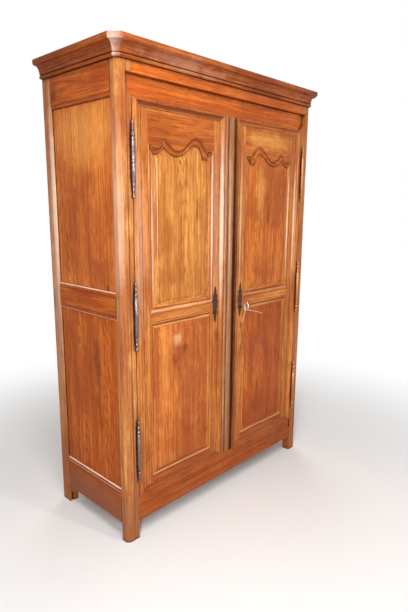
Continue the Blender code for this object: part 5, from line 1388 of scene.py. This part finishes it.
def even_points(points: list[Vector], spacing: float) -> list[Vector]:
    """Points at even distances along a line, its two ends included.

    Args:
        points: The line.
        spacing: About how far apart the new points are.

    Returns:
        The new points.
    """
    lengths = [(end - start).length for start, end in zip(points, points[1:])]
    total = sum(lengths)
    count = max(2, round(total / spacing))
    made = []
    for k in range(count + 1):
        left = total * k / count
        for (start, end), length in zip(zip(points, points[1:]), lengths):
            if left <= length:
                break
            left -= length
        made.append(start.lerp(end, min(left / length, 1)))
    return made


@dataclass
class KeyString:
    """Three twisted strands of cotton that hang over the lower wire of the key's bow."""

    cotton: Material
    strands: int = 3
    pitch: float = 0.0075
    winding_radius: float = STRING_DIAMETER * 0.245
    strand_radius: float = STRING_DIAMETER * 0.255

    def strand(self, line: list[Vector], number: int) -> Object:
        """One strand, wound about the string's own line.

        Args:
            line: Closely spaced points of the string's line.
            number: Which of the strands it is.

        Returns:
            The strand as a closed mesh.
        """
        data = bpy.data.curves.new(f"strand_{number}", "CURVE")
        data.dimensions = "3D"
        data.bevel_depth = self.strand_radius
        data.bevel_resolution = 3
        data.use_fill_caps = True
        path = data.splines.new("POLY")
        path.points.add(len(line) - 1)
        side = Vector((0, 0, 1))
        gone = 0.0
        for k, point in enumerate(line):
            ahead = (line[min(k + 1, len(line) - 1)] - line[max(k - 1, 0)]).normalized()
            side = (side - ahead * side.dot(ahead)).normalized()
            if k > 0:
                gone += (point - line[k - 1]).length
            angle = 2 * math.pi * (gone / self.pitch + number / self.strands)
            offset = side * math.cos(angle) + ahead.cross(side) * math.sin(angle)
            path.points[k].co = (*(point + offset * self.winding_radius), 1)
        made = added(f"strand_{number}", data)
        only_select(made)
        bpy.ops.object.convert(target="MESH")
        made = bpy.context.active_object
        edit(made, remove_doubles={"threshold": 0.00001})
        return made

    def build(self) -> None:
        low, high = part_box("key")
        wire = Vector(((low.x + high.x) / 2, low.y + KEY_WIRE + BOW_HALF_WIDTH, low.z + KEY_WIRE))
        line = [point + wire for point in smooth_line(STRING_ROUTE, 8)]
        path = even_points(line, 2 * STRING_DIAMETER)
        fine = even_points(line, 0.0006)
        made = [self.strand(fine, number) for number in range(self.strands)]
        only_select(made[0])
        for strand in made:
            strand.select_set(True)
        bpy.ops.object.join()
        string = bpy.context.active_object
        string.name = "key_string_cotton"
        bpy.ops.object.shade_smooth()
        take(string, self.cotton, "key", "string", "key_string")


@dataclass
class Studio:
    """Floor, light and the camera at the photograph's place."""

    camera_offset: Vector = field(default_factory=lambda: Vector((-1.214, -1.611, 1.492)))
    yaw: float = 46.33
    pitch: float = -11.69
    roll: float = 0.43
    focal_pixels: float = 500.6
    centre_pixel: tuple[float, float] = (203.0, 309.6)
    fade: tuple[float, float] = (0.8, 2.6)

    def camera(self) -> None:
        """Adds the camera and makes it the scene's."""
        low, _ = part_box("front_post_left")
        turns = ((-self.yaw, "Z"), (90 + self.pitch, "X"), (self.roll, "Z"))
        yaw, pitch, roll = (Matrix.Rotation(math.radians(angle), 4, axis) for angle, axis in turns)
        data = bpy.data.cameras.new("camera")
        data.sensor_fit = "VERTICAL"
        data.sensor_height = 36.0
        data.lens = self.focal_pixels / IMAGE_HEIGHT * data.sensor_height
        data.shift_x = (IMAGE_WIDTH / 2 - self.centre_pixel[0]) / IMAGE_HEIGHT
        data.shift_y = (self.centre_pixel[1] - IMAGE_HEIGHT / 2) / IMAGE_HEIGHT
        camera = added("camera", data)
        place = Matrix.Translation(Vector((low.x, low.y, 0)) + self.camera_offset)
        camera.matrix_world = place @ yaw @ pitch @ roll
        bpy.context.scene.camera = camera

    @staticmethod
    def lamp(name: str, place: Place, aim: Place, size: tuple[float, float], power: float) -> None:
        """Adds a rectangular lamp.

        Args:
            name: The lamp's name.
            place: Where it stands.
            aim: The point that it faces.
            size: Its width and height.
            power: Its power in watts.
        """
        data = bpy.data.lights.new(name, "AREA")
        data.shape = "RECTANGLE"
        data.size, data.size_y = size
        data.energy = power
        lamp = added(name, data)
        lamp.location = place
        lamp.rotation_euler = (Vector(aim) - Vector(place)).to_track_quat("-Z", "Y").to_euler()

    @staticmethod
    def seen(tree: Tree) -> Socket:
        """One for rays of the camera, of reflections and of glass, and nought for light that spreads.

        Args:
            tree: The tree to build in.

        Returns:
            The socket.
        """
        paths = tree.node("LightPath").outputs
        mirrored = tree.math("MAXIMUM", paths["Is Glossy Ray"], paths["Is Transmission Ray"])
        return tree.math("MAXIMUM", paths["Is Camera Ray"], mirrored)

    @staticmethod
    def whitened(tree: Tree, shader: bpy.types.Node, kind: str, share: Socket, output: str) -> None:
        """Puts plain white over what a world or a material shows.

        Args:
            tree: Its tree.
            shader: Its own shader.
            kind: The node that gives the white.
            share: The share of the white.
            output: Name of its output node.
        """
        white = tree.node(kind, {"Color": WHITE, "Strength": 1.0})
        mixed = tree.node("MixShader", {0: share, 1: shader.outputs[0], 2: white.outputs[0]})
        tree.feed(tree.tree.nodes[output], {0: mixed.outputs[0]})

    def world(self) -> None:
        """A soft even light, seen as white by the camera and by mirrors."""
        world = bpy.data.worlds.new("studio")
        world.use_nodes = True
        bpy.context.scene.world = world
        tree = Tree(world.node_tree)
        light = world.node_tree.nodes["Background"]
        tree.feed(light, {"Color": (1.0, 0.98, 0.96, 1.0), "Strength": 0.22})
        self.whitened(tree, light, "Background", self.seen(tree), "World Output")

    def floor(self) -> None:
        """A plain pale floor that runs out into the white backdrop."""
        floor = primitive("plane", "studio_floor", size=60.0, location=(0, 0, 0))
        made, tree, shader = new_material("pale_floor")
        pale = {"Base Color": (0.86, 0.85, 0.84, 1.0), "Roughness": 0.8, "Specular IOR Level": 0.0}
        tree.feed(shader, pale)
        away = tree.vector("LENGTH", tree.where())["Value"]
        share = tree.times(tree.ramp(away, *self.fade), self.seen(tree))
        self.whitened(tree, shader, "Emission", share, "Material Output")
        floor.data.materials.append(made)

    def build(self) -> None:
        """Sets up the light, the backdrop and the floor."""
        middle = (0.0, 0.0, 1.0)
        self.lamp("flash", (-2.1, -1.78, 1.58), middle, (0.22, 1.1), 40.0)
        self.lamp("ahead", (0.15, -3.1, 1.5), (0.0, -0.2, 1.4), (0.22, 1.5), 30.0)
        self.lamp("overhead", (-1.6, -1.7, 3.5), middle, (1.5, 1.5), 70.0)
        self.lamp("rear", (2.2, 2.4, 2.6), middle, (2.2, 2.2), 45.0)
        self.world()
        self.floor()
        bpy.context.scene.view_settings.view_transform = "Standard"


def main() -> None:
    """Builds the scene in order and reports each piece."""
    logging.basicConfig(level=logging.INFO, format="%(message)s")
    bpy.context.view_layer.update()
    studio = Studio()
    studio.camera()
    KeyString(COTTON.material()).build()
    doors = [Door("left", GOLD_OAK, LOWER_OAK), Door("right", AMBER_OAK, RED_OAK)]
    boards = Carcass().boards() + Cornice().boards() + doors[0].boards() + doors[1].boards()
    for seed, wood in enumerate(boards + doors[0].mouldings() + doors[1].mouldings(), start=1):
        wood.build(seed)
    pattern = Hinge.knuckle()
    # The right hinges take a brown copy of the iron, a painted reflection of the wood
    for side, finish in zip(SIDES, (HINGE_STEEL, HINGE_WOOD_REFLECTION)):
        steel = finish.material()
        for place in ("upper", "middle", "lower"):
            Hinge(side, place, steel).build(pattern)
    bpy.data.objects.remove(pattern, do_unlink=True)
    LockWork(LOCK_IRON.material()).build()
    Key(KEY_STEEL.material()).build()
    studio.build()


if __name__ == "__main__":
    main()
